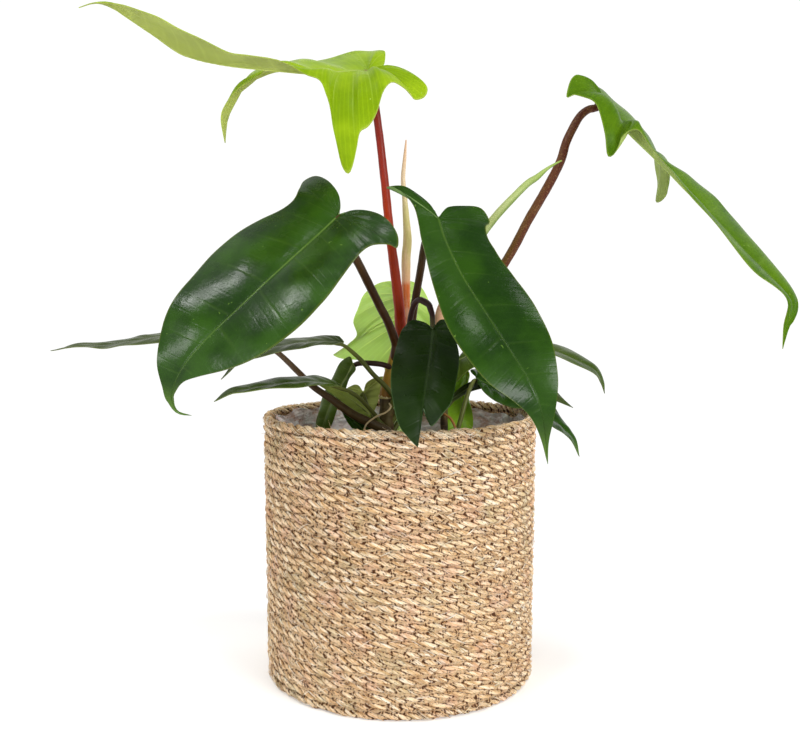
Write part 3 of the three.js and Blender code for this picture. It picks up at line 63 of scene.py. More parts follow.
# Material values of the wall and floor. Their crease and depth values set the painted shade on them.
CORE_CREASE = 0.35
CORE_DEPTH = 0.7
CORE_TONE = 0.45
CORE_FIBRE = (0.6, 28)

# Ropes. Lumps are (height, steps between changes), for the strands and twice for the straws.
ROPE_ROWS = 32
ROPE_PIECES = 4
ROPE_RADIUS = 2.95
ROPE_STEPS = 400
ROPE_PITCH = 25.0
ROPE_SEED = 900
RIM_ROPE_FACTOR = 1.05
ROPE_FACTORS = (0.96, 1.03)
PITCH_FACTORS = (0.88, 1.15)
TWIST_WOBBLE = 0.7
TWIST_STEPS = 12
SWAY_OUT = 0.35
SWAY_UP = 0.4
SWAY_STEPS = 18
STRAND_LUMPS = (0.1, 6)
STRAW_LUMPS = ((0.09, 4), (0.06, 1.5))

# Length of rope for one step of the fibre pattern, and how far the pattern shifts from piece to piece
FIBRE_RUN = 3
ROW_SHIFT = 37
STRAW_SHIFT = 11
HAIR_SHIFT = 7

# Strands. Their section is (degrees, fullness, crown), with the crease between two strands first.
STRANDS = 3
# The crown sets the painted shade in the creases between strands: full at 0, none at 1.
STRAND_SECTION = ((-60, 1, 0), (-36, 1, 1), (-18, 0.93, 0.4), (0, 1, 1), (18, 0.93, 0.4), (36, 1, 1))
STRAND_CENTRE = 0.46
STRAND_RADIUS = 0.54

# Painted shade: small dark spots between the rows, standing in for shaded gaps
SHADED_HOLES_ROUND = 198.0
SHADED_HOLE_WANDER = 20.0

# Flat straws on the ropes. Leans are shares of the rope's own slope, and angles are radians up from level.
STRAW_COUNT = 3000
STRAW_STEPS = 5
STRAW_SEED = 77
STRAW_LENGTHS = (3, 10)
STRAW_WIDTHS = (0.3, 0.9)
STRAW_LIFTS = (-0.1, 0.35)
STRAW_ANGLES = (-0.55, 0.9)
STRAW_ALONG = (0.6, 1.4)
STRAW_ACROSS = (-1.2, 0.5)
STRAW_HALF_THICKNESS = 0.2
RIM_STRAWS = 0.1
ALONG_STRAWS = 0.6
PALE_STRAWS = 0.75
LOOSE_ENDS = 0.3
LOOSE_RISE = (0, 0.9)
LOOSE_SHARE = 0.3

# Loose fibres
HAIR_COUNT = 900
HAIR_STEPS = 5
HAIR_SIDES = 3
HAIR_SEED = 41
HAIR_LENGTHS = (1.5, 6)
HAIR_ROOT = 0.5
HAIR_THICKNESS = (0.09, 0.12)
RIM_HAIRS = 0.45
RIM_HAIR_SPREAD = 1.5

# Liner film. Waves are (height, count round the ring, shift).
FILM_RADIUS = 82.6
FILM_TOP = 165.5
FILM_LIMIT = 170.5
FILM_FOLD_TOP = 172.6
FILM_FOLD_ANGLE = math.radians(195.0)
FILM_BOTTOM = 118.0
FILM_THICKNESS = 0.15
FILM_SIDES = 240
FILM_ROWS = 16
FILM_EDGE = ((3.2, 3, 1), (2.2, 7, 2), (1.2, 17, 0))
FILM_CRINKLES = ((0.5, 23, 9), (0.4, 41, -14), (0.5, 11, 21))
FILM_INWARD = 0.9
FILM_FOLD_POWER = 6

# Soil
SOIL_RADIUS = 72.5
SOIL_TOP = 128.0
SOIL_BASE_RADIUS = 52
SOIL_BASE = 12
SOIL_RINGS = 26
SOIL_SIDES = 96
CRUMBS = 520
CRUMB_SEED = 5
CRUMB_SIZES = (0.6, 2.2)
CRUMB_CORNERS = (0.6, 1.3)
CRUMB_EDGE = 0.97

# Leaves. A start is the distance from the midrib at which that part of the relief is at its full height.
LEAF_THICKNESS = 0.55
COLUMN_CROWDING = 1.12
MIDRIB_CREASE = 0.5
MIDRIB_WIDTH = 2.4
RIDGE_HEIGHT = 0.55
RIDGE_WIDTH = 1.0
SWELL = 1.6
SWELL_START = 8
QUILT_START = 6
WAVE_START = 12
CURL_RUN = 10
RIB_STEP = 0.001

# Stalks and stems. Under its leaf a stalk runs by (distance, share of its radius, depth in radii).
TUBE_STEP = 2.0
TUBE_SEED = 10
STALK_BUMPS = 0.012
BARK_BUMPS = 0.035
UNDER_LEAF = ((0, 1, 1.1), (4, 0.8, 1.05), (9, 0.55, 0.95), (16, 0.3, 0.7))

# Torn leaf base round the top of the main stem
COLLAR_X = -9.0
COLLAR_RADIUS = 4.8
COLLAR_HEIGHT = 183.0
COLLAR_STEPS = 40
COLLAR_SEED = 8
COLLAR_TEARS = (-0.9, 1.1)
COLLAR_FLARES = (0.2, 0.7)

# Angles between faces, in degrees, above which an edge looks sharp
SHARP_LEAF = 40
SHARP_PLAIN = 55
SHARP_STALK = 70
SHARP_ROPE = 80

# Strength of the white surroundings near the horizon, above the camera and above the back
SIDE_GLOW = 1.05
FRONT_GLOW = 0.4
BACK_GLOW = 0.9

# Strength of the floor's own light, which hides the seam between the floor and the surroundings
FLOOR_GLOW = 0.2

# Half the side of the square floor, in metres
FLOOR_HALF = 0.75

# Lights, as name, place, aim, size and power. Lengths are in metres.
LIGHTS = [
    ("left_front", (-0.91, -1.0, 0.92), (0, 0, 0.2), (0.28, 0.4), 4),
    ("left_top", (-0.67, -0.24, 1.29), (-0.1, -0.08, 0.25), (0.14, 0.2), 2.5),
    ("right_top", (0.58, -0.47, 1.3), (0, -0.08, 0.25), (0.12, 0.3), 2),
    ("overhead", (-0.15, -0.25, 1.37), (0.02, -0.08, 0.2), (0.1, 0.1), 0.8),
    ("right_front", (1.15, -1.3, 0.62), (0, 0, 0.15), (0.7, 0.4), 16),
]

# Camera, from the ellipses of the basket's rim and base
CAMERA_BACK = 616.0
CAMERA_HEIGHT = 248.0
CAMERA_PITCH = 4.2
CAMERA_LENS = 41.76
CAMERA_SENSOR = 36

# Leaf colours, linear. Veins, midrib and fine say how strongly those lines show on the upper side, gloss is
# how rough it is, shine how strongly it reflects, thin how much light comes through and tip how much the
# colour of the veins shows at the tip. Back veins is how strongly the veins show on the underside.
LEAF_PLAIN = {
    "veins": 0.12, "midrib": 0.75, "fine": 0.08, "gloss": 0.26, "shine": 0.14, "thin": 0.0, "tip": 0.0,
    "back_veins": 0.3,
}
LEAF_LOOKS = {
    "lime": {
        "upper": (0.24, 0.36, 0.008), "deep": (0.17, 0.28, 0.004), "vein": (0.36, 0.47, 0.1),
        "lower": (0.36, 0.42, 0.1), "rim": (0.34, 0.42, 0.06), "veins": 0.3, "fine": 0.16, "thin": 0.3,
        "shine": 0.03, "back_veins": 0.08,
    },
    "mid": {
        "upper": (0.075, 0.155, 0.004), "deep": (0.045, 0.11, 0.002), "vein": (0.16, 0.25, 0.04),
        "lower": (0.28, 0.36, 0.1), "rim": (0.15, 0.24, 0.02), "veins": 0.16, "thin": 0.2, "shine": 0.03,
    },
    "dark": {
        "upper": (0.022, 0.07, 0.003), "deep": (0.008, 0.03, 0.002), "vein": (0.11, 0.2, 0.03),
        "lower": (0.12, 0.2, 0.06), "rim": (0.09, 0.12, 0.015), "gloss": 0.19, "shine": 0.2, "fine": 0.03,
        "veins": 0.08, "tip": 0.7,
    },
    "even": {
        "upper": (0.019, 0.06, 0.003), "deep": (0.008, 0.03, 0.002), "vein": (0.11, 0.2, 0.03),
        "lower": (0.12, 0.2, 0.06), "rim": (0.09, 0.12, 0.015), "gloss": 0.19, "shine": 0.12, "fine": 0.03,
        "veins": 0.05, "tip": 0.7, "midrib": 0.3,
    },
    "blue": {
        "upper": (0.012, 0.03, 0.003), "deep": (0.006, 0.018, 0.0015), "vein": (0.06, 0.1, 0.03),
        "lower": (0.09, 0.14, 0.07), "rim": (0.05, 0.1, 0.03), "gloss": 0.24, "midrib": 0.35, "veins": 0.04,
        "fine": 0.03,
    },
    "pale": {
        "upper": (0.12, 0.26, 0.015), "deep": (0.08, 0.19, 0.01), "vein": (0.3, 0.42, 0.1),
        "lower": (0.5, 0.72, 0.2), "rim": (0.55, 0.7, 0.25), "gloss": 0.34, "veins": 0.3, "thin": 0.6,
        "back_veins": 0.6,
    },
    "olive": {
        "upper": (0.06, 0.1, 0.01), "deep": (0.035, 0.065, 0.005), "vein": (0.2, 0.24, 0.08),
        "lower": (0.16, 0.2, 0.05), "rim": (0.16, 0.2, 0.05), "shine": 0.08,
    },
    "moss": {
        "upper": (0.24, 0.3, 0.055), "deep": (0.17, 0.22, 0.035), "vein": (0.36, 0.4, 0.12),
        "lower": (0.32, 0.38, 0.09), "rim": (0.3, 0.34, 0.08), "shine": 0.08,
    },
    "grey": {
        "upper": (0.06, 0.085, 0.02), "deep": (0.035, 0.055, 0.012), "vein": (0.16, 0.2, 0.08),
        "lower": (0.17, 0.2, 0.075), "rim": (0.16, 0.19, 0.07), "shine": 0.08,
    },
    "young": {
        "upper": (0.26, 0.45, 0.03), "deep": (0.2, 0.38, 0.02), "vein": (0.4, 0.56, 0.14),
        "lower": (0.36, 0.52, 0.1), "rim": (0.4, 0.56, 0.1), "thin": 0.5,
    },
}

# Wobble of a leaf's veins, and how many fine veins run for each main one
VEIN_WOBBLE = 0.05
FINE_VEINS = 5

# Stalk colours, linear, from the foot to the far end, and the colour of their streaks and specks. One side
# of a stalk is darker, partly its own two-tone colour and partly painted shade, and its share says how
# strongly it shows.
STALK_PLAIN = {
    "streak": (0.2, 0.18, 0.05), "streaks": 0.25, "specks": 0.06, "flank_tone_and_shade": (0.1, 0.03, 0.01),
    "flank_tone_and_shade_share": 0.0,
}
STALK_LOOKS = {
    "orange": {
        "stops": [
            (0, (0.2, 0.09, 0.012)), (0.35, (0.3, 0.16, 0.02)), (0.7, (0.36, 0.2, 0.02)),
            (1, (0.34, 0.12, 0.015)),
        ],
        "streak": (0.12, 0.13, 0.02), "streaks": 0.5,
    },
    "tall_sheath": {
        "stops": [
            (0, (0.4, 0.11, 0.01)), (0.41, (0.6, 0.14, 0.03)), (0.43, (0.66, 0.38, 0.21)),
            (0.55, (0.5, 0.42, 0.16)), (0.7, (0.48, 0.43, 0.17)), (0.85, (0.64, 0.5, 0.32)),
            (1, (0.62, 0.36, 0.2)),
        ],
        "streak": (0.72, 0.5, 0.36), "streaks": 0.4,
    },
    "peach": {
        "stops": [(0, (0.3, 0.3, 0.1)), (0.4, (0.5, 0.34, 0.16)), (1, (0.72, 0.34, 0.24))],
        "streak": (0.5, 0.5, 0.2),
    },
    "spear": {
        "stops": [(0, (0.28, 0.32, 0.08)), (0.6, (0.36, 0.42, 0.16)), (1, (0.24, 0.36, 0.06))],
        "streak": (0.55, 0.6, 0.32), "streaks": 0.15, "specks": 0.0, "flank_tone_and_shade": (0.1, 0.17, 0.02),
        "flank_tone_and_shade_share": 0.75,
    },
    "red": {
        "stops": [
            (0, (0.26, 0.07, 0.006)), (0.2, (0.36, 0.03, 0.003)), (0.5, (0.38, 0.035, 0.005)),
            (0.65, (0.26, 0.02, 0.01)), (1, (0.17, 0.02, 0.014)),
        ],
        "streak": (0.16, 0.012, 0.008), "streaks": 0.3, "specks": 0.5, "flank_tone_and_shade": (0.12, 0.012, 0.006),
        "flank_tone_and_shade_share": 0.5,
    },
    "olive": {
        "stops": [(0, (0.07, 0.08, 0.015)), (1, (0.12, 0.14, 0.03))],
        "streak": (0.2, 0.2, 0.06),
    },
    "brown": {
        "stops": [(0, (0.05, 0.018, 0.005)), (0.5, (0.038, 0.015, 0.004)), (1, (0.045, 0.03, 0.006))],
        "streak": (0.1, 0.05, 0.02),
    },
    "brown_long": {
        "stops": [
            (0, (0.09, 0.075, 0.012)), (0.45, (0.13, 0.07, 0.014)), (0.75, (0.1, 0.03, 0.012)),
            (1, (0.04, 0.007, 0.006)),
        ],
        "streak": (0.16, 0.09, 0.03), "specks": 0.35, "flank_tone_and_shade": (0.075, 0.014, 0.006), "flank_tone_and_shade_share": 0.9,
    },
    "dark_brown": {
        "stops": [(0, (0.05, 0.035, 0.012)), (0.5, (0.06, 0.03, 0.014)), (1, (0.1, 0.07, 0.03))],
        "streak": (0.14, 0.1, 0.03),
    },
    "black_brown": {
        "stops": [(0, (0.03, 0.014, 0.01)), (1, (0.04, 0.022, 0.012))],
        "streak": (0.08, 0.04, 0.03),
    },
    "plum": {
        "stops": [(0, (0.03, 0.012, 0.01)), (0.75, (0.03, 0.01, 0.01)), (1, (0.2, 0.24, 0.06))],
        "streak": (0.06, 0.03, 0.02),
    },
    "tendril": {
        "stops": [(0, (0.3, 0.12, 0.03)), (1, (0.26, 0.12, 0.04))],
    },
    "root": {
        "stops": [(0, (0.5, 0.38, 0.2)), (1, (0.42, 0.3, 0.15))],
        "streak": (0.62, 0.52, 0.34),
    },
    "collar": {
        "stops": [(0, (0.2, 0.1, 0.02)), (0.5, (0.45, 0.36, 0.12)), (1, (0.7, 0.62, 0.34))],
        "streak": (0.75, 0.7, 0.6),
    },
}

# Colour ramps of the other materials, linear
BARK_STOPS = [
    (0, (0.02, 0.01, 0.004)), (0.4, (0.05, 0.028, 0.008)), (0.75, (0.075, 0.05, 0.012)),
    (1, (0.09, 0.07, 0.018)),
]
STRAW_STOPS = [
    (0, (0.46, 0.24, 0.09)), (0.25, (0.7, 0.44, 0.21)), (0.5, (0.88, 0.64, 0.38)),
    (0.78, (0.99, 0.81, 0.57)), (1, (1.0, 0.95, 0.84)),
]
SOIL_STOPS = [(0, (0.012, 0.007, 0.004)), (0.6, (0.05, 0.028, 0.015)), (1, (0.12, 0.07, 0.04))]
# The film's ramp is painted shade and light on its crinkles, from brownish to white.
FILM_STOPS = [(0, (0.6, 0.36, 0.28)), (0.5, (0.93, 0.8, 0.79)), (1, (1.0, 0.97, 0.98))]
POT_STOPS = [(0, (0.018, 0.018, 0.019)), (1, (0.04, 0.04, 0.042))]
FLOOR_STOPS = [(0, (0.94, 0.94, 0.94)), (1, (0.96, 0.96, 0.96))]

# Leaves. A midrib runs from the stalk to the tip as (x, y, z), and face is the way the upper side looks.
# On a leaf with no fold, left and right are the two edges as (x, y, z, share, bow). The share is the place
# on the midrib that the edge point's vein starts from, and the bow is how far the vein rises. On a leaf
# with a fold they are (along, across, share) in shares of the leaf's length, and the flat blade is folded
# along the midrib by fold degrees and rolls down by curl degrees every 10 mm.
LEAVES = {
    "blade_front_left": {
        "slot": "dark_leaf", "look": "dark", "rows": 120, "columns": 18,
        "veins": 13, "quilt": 0.11, "wave": 0.6, "waves": 6,
        "midrib": [
            (-36, -64, 297), (-48, -70, 285), (-71, -86, 262), (-90, -95, 243), (-108, -101, 225),
            (-121, -103, 209), (-127, -102, 196), (-127, -100, 189), (-124, -98, 184), (-117, -96, 182),
        ],
        "face": [(-0.35, -0.75, 0.55), (-0.3, -0.8, 0.5), (-0.1, -1, 0.2)],
        "left": [
            (0, 0, 0), (-0.04, 0.03, 0), (-0.08, 0.09, 0), (-0.11, 0.18, 0), (-0.11, 0.26, 0),
            (-0.07, 0.285, 0), (-0.02, 0.245, 0), (0.03, 0.21, 0.01), (0.08, 0.215, 0.05),
            (0.16, 0.26, 0.12), (0.27, 0.29, 0.23), (0.405, 0.29, 0.365), (0.535, 0.25, 0.49),
            (0.65, 0.205, 0.6), (0.735, 0.155, 0.69), (0.8, 0.1, 0.785), (0.855, 0.045, 0.855),
            (0.91, 0.013, 0.92), (1, 0, 1),
        ],
        "right": [
            (0, 0, 0), (-0.035, 0.035, 0), (-0.065, 0.085, 0), (-0.075, 0.14, 0), (-0.065, 0.205, 0),
            (-0.04, 0.265, 0), (0, 0.3, 0), (0.015, 0.275, 0), (0.05, 0.23, 0), (0.08, 0.215, 0.03),
            (0.15, 0.225, 0.09), (0.25, 0.24, 0.17), (0.345, 0.252, 0.265), (0.455, 0.25, 0.39),
            (0.56, 0.222, 0.51), (0.665, 0.16, 0.65), (0.77, 0.072, 0.77), (0.83, 0.025, 0.845),
            (0.9, 0.01, 0.92), (1, 0, 1),
        ],
        "fold": [10, 10, 12, 12, 10, 5],
        "curl": [8, 6, 5, 5, 5, 5],
    },
    "blade_front_right": {
        "slot": "dark_leaf", "look": "even", "rows": 120, "columns": 18,
        "veins": 14, "quilt": 0.08, "wave": 0.5, "waves": 6,
        "midrib": [
            (23, -54, 296), (27, -64, 282), (36, -78, 261), (49, -92, 239), (62, -101, 218),
            (73, -105, 200), (79, -105, 183), (83, -101, 155),
        ],
        "face": [(0.1, -0.8, 0.55), (0.15, -0.85, 0.45), (0.1, -1, 0.1)],
        "left": [
            (0, 0, 0), (-0.06, 0.015, 0), (-0.12, 0.045, 0), (-0.165, 0.09, 0), (-0.175, 0.15, 0),
            (-0.145, 0.115, 0), (-0.06, 0.08, 0), (0.03, 0.08, 0.01), (0.145, 0.095, 0.11),
            (0.29, 0.12, 0.24), (0.455, 0.155, 0.4), (0.62, 0.14, 0.58), (0.73, 0.09, 0.7),
            (0.825, 0.042, 0.82), (0.91, 0.015, 0.92), (1, 0, 1),
        ],
        "right": [
            (0, 0, 0), (-0.04, 0.045, 0), (-0.04, 0.11, 0), (-0.015, 0.165, 0), (0.045, 0.18, 0),
            (0.072, 0.157, 0.01), (0.11, 0.152, 0.04), (0.235, 0.156, 0.15), (0.34, 0.166, 0.25),
            (0.48, 0.166, 0.4), (0.625, 0.141, 0.56), (0.73, 0.097, 0.68), (0.81, 0.052, 0.79),
            (0.91, 0.013, 0.92), (1, 0, 1),
        ],
        "fold": [10, 10, 12, 12, 10, 5],
        "curl": [8, 6, 5, 5, 5, 5],
    },
    "blade_front_centre": {
        "slot": "blue_leaf", "look": "blue", "rows": 100, "columns": 16,
        "veins": 11, "quilt": 0.1, "wave": 0.4, "waves": 5,
        "midrib": [
            (20, -46, 229), (18, -62, 214), (15, -80, 198), (13, -91, 187), (10, -102, 165),
        ],
        "face": [(0, -0.8, 0.6), (0, -0.85, 0.5), (0, -1, 0.2)],
        "left": [
            (0, 0, 0), (-0.06, 0.06, 0), (-0.07, 0.14, 0), (0, 0.2, 0), (0.09, 0.225, 0.04),
            (0.36, 0.25, 0.26), (0.64, 0.22, 0.52), (0.86, 0.145, 0.76), (0.945, 0.07, 0.88), (1, 0, 1),
        ],
        "right": [
            (0, 0, 0), (-0.09, 0.045, 0), (-0.095, 0.1, 0), (-0.03, 0.14, 0), (0.05, 0.16, 0.02),
            (0.24, 0.2, 0.15), (0.46, 0.2, 0.36), (0.65, 0.185, 0.52), (0.79, 0.13, 0.63),
            (0.86, 0.075, 0.7), (0.81, 0.035, 0.73), (0.74, 0.01, 0.75), (0.87, 0.004, 0.87), (1, 0, 1),
        ],
        "fold": [8, 8, 8],
        "curl": [6, 6, 6],
    },
    "blade_upper_left": {
        "slot": "lime_leaf", "look": "lime", "rows": 110, "columns": 16,
        "veins": 11, "quilt": 0.3, "wave": 0.8, "waves": 7,
        "midrib": [
            (-20, -12, 393), (-31, -20, 391), (-50, -34, 386), (-77, -52, 384), (-101, -68, 383),
            (-120, -80, 385), (-133, -88, 392), (-151, -95, 403), (-159, -98, 408), (-166, -100, 408),
            (-175, -98, 406),
        ],
        "face": [(0, -0.1, 1), (0, 0, 1), (0.1, 0, 1)],
        "left": [
            (-20, -12, 393, 0, 0), (-14, -8, 396, 0, 0), (-10, 0, 400, 0, 1), (-9, 10, 411, 0, 2),
            (-13, 15, 414, 0, 3), (-20, 20, 413, 0, 2), (-30, 20, 413, 0, 1), (-38, 18, 411, 0.01, 1),
            (-49, 14, 407, 0.04, 1), (-62, 12, 405, 0.08, 2), (-73, 10, 404, 0.12, 4),
            (-84, 8, 400, 0.17, 5), (-94, 4, 392, 0.2, 8), (-104, 0, 383, 0.22, 12),
            (-110, -4, 375, 0.23, 14), (-113, -8, 366, 0.24, 16), (-113, -12, 356, 0.25, 18),
            (-113, -15, 347, 0.26, 18), (-113, -20, 354, 0.265, 17), (-112, -24, 362, 0.27, 13),
            (-108, -28, 369, 0.28, 10), (-101, -33, 375, 0.3, 6), (-93, -38, 381, 0.32, 3),
            (-83, -43, 385, 0.35, 1), (-83, -48, 388, 0.38, 1), (-96, -46, 390, 0.43, 1),
            (-115, -44, 392, 0.52, 1), (-128, -50, 393, 0.6, 1), (-138, -60, 397, 0.69, 1),
            (-145, -72, 401, 0.78, 1), (-153, -84, 405, 0.87, 1), (-161, -96, 408, 0.94, 0),
            (-167, -99, 408, 0.97, 0), (-175, -98, 406, 1, 0),
        ],
        "right": [
            (-20, -12, 393, 0, 0), (-10, -14, 395, 0, 1), (3, -18, 392, 0, 2), (12, -26, 386, 0, 3),
            (17, -32, 378, 0, 3), (15, -36, 371, 0, 4), (9, -38, 369, 0, 4), (6, -38, 374, 0, 4),
            (1, -39, 378, 0, 4), (-5, -41, 379, 0, 4), (-10, -46, 372, 0, 7), (-14, -50, 359, 0.01, 9),
            (-19, -51, 351, 0.03, 10), (-24, -52, 347, 0.04, 10), (-26, -52, 337, 0.06, 10),
            (-30, -53, 323, 0.08, 10), (-35, -52, 327, 0.1, 10), (-39, -52, 343, 0.11, 10),
            (-41, -52, 355, 0.12, 9), (-44, -52, 368, 0.14, 8), (-48, -50, 378, 0.17, 5),
            (-56, -50, 382, 0.22, 2), (-67, -60, 386, 0.3, 1), (-85, -78, 385, 0.4, 1),
            (-96, -90, 384, 0.48, 2), (-108, -104, 389, 0.56, 2), (-119, -110, 393, 0.64, 2),
            (-129, -112, 397, 0.72, 2), (-143, -108, 402, 0.82, 1), (-155, -102, 407, 0.91, 0.5),
            (-165, -101, 408, 0.96, 0), (-175, -98, 406, 1, 0),
        ],
    },
    "blade_upper_right": {
        "slot": "bright_leaf", "look": "mid", "rows": 110, "columns": 16,
        "veins": 12, "quilt": 0.15, "wave": 0.8, "waves": 7,
        "midrib": [
            (127, -20, 373), (134, -28, 362), (140, -38, 350), (152, -52, 333), (160, -60, 322),
            (167, -67, 312), (176, -73, 301), (186, -80, 288), (196, -85, 275), (207, -89, 263),
            (217, -92, 251), (221, -93, 243), (219, -91, 233), (219, -86, 219),
        ],
        "face": [(0.63, -0.35, 0.7), (0.63, -0.3, 0.7), (0.6, -0.45, 0.7), (0.6, -0.45, 0.7)],
        "left": [
            (127, -20, 373, 0, 0), (124, -24, 379, 0, 1), (118, -29, 382, 0, 2), (112, -34, 385, 0, 3),
            (107, -38, 384, 0, 3), (103, -41, 379, 0, 4), (101, -43, 370, 0, 5), (105, -44, 372, 0, 4),
            (111, -45, 370, 0, 4), (117, -46, 366, 0, 5), (120, -49, 358, 0.02, 7),
            (123, -52, 345, 0.05, 8), (125, -52, 333, 0.08, 8), (130, -53, 337, 0.1, 8),
            (133, -54, 344, 0.12, 8), (138, -57, 348, 0.15, 7), (143, -58, 347, 0.18, 4),
            (148, -60, 338, 0.25, 2), (153, -66, 328, 0.31, 1), (159, -72, 319, 0.37, 1),
            (164, -78, 311, 0.42, 1), (169, -85, 302, 0.47, 1), (174, -91, 293, 0.53, 1),
            (181, -97, 282, 0.6, 1), (189, -102, 271, 0.68, 1), (197, -104, 262, 0.75, 1),
            (206, -103, 255, 0.82, 1), (214, -100, 248, 0.88, 1), (217, -96, 241, 0.93, 0),
            (217, -92, 232, 0.96, 0), (219, -86, 219, 1, 0),
        ],
        "right": [
            (127, -20, 373, 0, 0), (128, -10, 381, 0, 0), (125, 2, 388, 0, 1), (120, 10, 392, 0, 2),
            (119, 16, 391, 0, 2), (127, 14, 389, 0, 2), (134, 10, 386, 0, 1), (141, 6, 379, 0.03, 1),
            (149, 4, 371, 0.08, 2), (158, 4, 360, 0.12, 3), (166, 5, 348, 0.15, 5), (170, 7, 335, 0.17, 7),
            (172, 7, 324, 0.19, 8), (169, 5, 312, 0.21, 9), (172, -1, 312, 0.22, 9),
            (174, -8, 318, 0.23, 8), (172, -18, 323, 0.25, 6), (168, -30, 327, 0.27, 4),
            (167, -42, 327, 0.3, 2), (173, -48, 324, 0.35, 1), (181, -50, 317, 0.41, 1),
            (188, -54, 309, 0.47, 1), (194, -58, 300, 0.54, 1), (203, -64, 289, 0.62, 1),
            (212, -72, 276, 0.71, 1), (221, -80, 260, 0.81, 1), (225, -87, 248, 0.89, 1),
            (225, -90, 240, 0.93, 0), (221, -90, 232, 0.96, 0), (219, -86, 219, 1, 0),
        ],
    },
    "blade_back": {
        "slot": "pale_leaf", "look": "pale", "rows": 100, "columns": 14,
        "veins": 12, "quilt": 0.4, "wave": 0.6, "waves": 5,
        "midrib": [
            (-1, 26, 250), (-1, 36, 238), (-2, 46, 222), (-3, 52, 204), (-3, 56, 178), (0, 58, 152),
            (3, 56, 130),
        ],
        "face": [(0, 1, 0.5), (0, 1, 0.3), (0, 1, 0.1)],
        "left": [
            (-1, 26, 250, 0, 0), (3, 30, 258, 0, 1), (8, 36, 260, 0, 2), (15, 42, 256, 0, 2),
            (20, 46, 248, 0, 3), (22, 50, 238, 0, 3), (21, 54, 228, 0.02, 3), (22, 56, 221, 0.06, 3),
            (29, 60, 212, 0.1, 3), (35, 64, 204, 0.14, 3), (29, 62, 202, 0.18, 3), (18, 60, 202, 0.24, 2),
            (7, 58, 200, 0.34, 1), (5, 58, 189, 0.5, 1), (7, 59, 170, 0.66, 1), (6, 58, 150, 0.82, 1),
            (3, 56, 130, 1, 0),
        ],
        "right": [
            (-1, 26, 250, 0, 0), (-5, 30, 259, 0, 1), (-10, 36, 260, 0, 2), (-18, 40, 257, 0, 3),
            (-26, 44, 250, 0, 3), (-30, 48, 241, 0, 3), (-33, 52, 232, 0.02, 3), (-31, 54, 223, 0.06, 3),
            (-35, 58, 216, 0.1, 3), (-44, 63, 210, 0.14, 3), (-49, 66, 207, 0.16, 3),
            (-43, 64, 204, 0.19, 3), (-28, 60, 203, 0.24, 2), (-13, 58, 201, 0.34, 1),
            (-11, 58, 189, 0.5, 1), (-10, 59, 170, 0.66, 1), (-4, 58, 150, 0.82, 1), (3, 56, 130, 1, 0),
        ],
    },
    "blade_low_right": {
        "slot": "dark_leaf", "look": "even", "rows": 90, "columns": 10,
        "veins": 11, "quilt": 0.3, "wave": 0.5, "waves": 4,
        "midrib": [
            (52, 10, 194), (66, 15, 187), (83, 19, 179), (99, 18, 171), (110, 15, 161), (118, 12, 153),
            (122, 8, 141),
        ],
        "face": [(0.3, -0.6, 0.8), (0.3, -0.7, 0.7), (0.3, -0.8, 0.5)],
        "left": [
            (52, 10, 194, 0, 0), (53, 2, 190, 0, 1), (57, -2, 185, 0.05, 1), (64, -3, 179, 0.14, 1),
            (74, -3, 176, 0.28, 1), (86, -2, 176, 0.42, 1), (95, -1, 171, 0.54, 1), (102, 1, 163, 0.64, 1),
            (110, 4, 157, 0.76, 1), (117, 7, 151, 0.9, 0), (122, 8, 141, 1, 0),
        ],
        "right": [
            (52, 10, 194, 0, 0), (48, 15, 199, 0, 1), (55, 24, 200, 0, 1), (71, 28, 196, 0.08, 1),
            (86, 32, 190, 0.22, 1), (99, 32, 182, 0.38, 1), (107, 28, 174, 0.52, 1),
            (113, 23, 165, 0.66, 1), (118, 18, 157, 0.8, 1), (121, 13, 151, 0.9, 0), (122, 8, 141, 1, 0),
        ],
    },
    "blade_low_right_under": {
        "slot": "olive_leaf", "look": "olive", "rows": 80, "columns": 10,
        "veins": 10, "quilt": 0.25, "wave": 0.4, "waves": 4,
        "midrib": [
            (40, 18, 206), (55, 26, 212), (77, 34, 216), (99, 40, 214), (121, 45, 206), (138, 48, 198),
            (145, 48, 190), (147, 46, 180),
        ],
        "face": [(0, -0.1, 1), (0.2, -0.1, 1), (0.6, 0, 0.8)],
        "left": [
            (40, 18, 206, 0, 0), (36, 10, 200, 0, 1), (34, 6, 193, 0, 1), (38, 5, 192, 0, 1),
            (43, 7, 197, 0.02, 1), (50, 8, 202, 0.05, 1), (61, 10, 206, 0.12, 1), (82, 16, 212, 0.26, 1),
            (105, 26, 210, 0.45, 1), (125, 34, 201, 0.62, 1), (139, 40, 194, 0.8, 1),
            (144, 45, 188, 0.92, 0), (147, 46, 180, 1, 0),
        ],
        "right": [
            (40, 18, 206, 0, 0), (46, 32, 212, 0, 1), (64, 44, 217, 0.12, 1), (87, 54, 218, 0.28, 1),
            (109, 60, 216, 0.46, 1), (128, 60, 209, 0.64, 1), (142, 56, 200, 0.82, 1),
            (147, 50, 189, 0.93, 0), (147, 46, 180, 1, 0),
        ],
    },
    "blade_low_right_side": {
        "slot": "olive_leaf", "look": "grey", "rows": 70, "columns": 10,
        "veins": 10, "quilt": 0.25, "wave": 0.4, "waves": 4,
        "midrib": [
            (32, 15, 176), (40, 20, 182), (56, 28, 190), (77, 33, 191), (99, 38, 185), (114, 42, 178),
            (124, 44, 170),
        ],
        "face": [(0, -0.2, 1), (0.2, 0, 1), (0.5, 0, 0.9)],
        "left": [
            (32, 15, 176, 0, 0), (38, 15, 179, 0, 0), (48, 19, 184, 0.1, 0), (64, 25, 187, 0.25, 1),
            (84, 29, 184, 0.45, 1), (102, 35, 178, 0.65, 1), (114, 40, 174, 0.85, 0), (124, 44, 170, 1, 0),
        ],
        "right": [
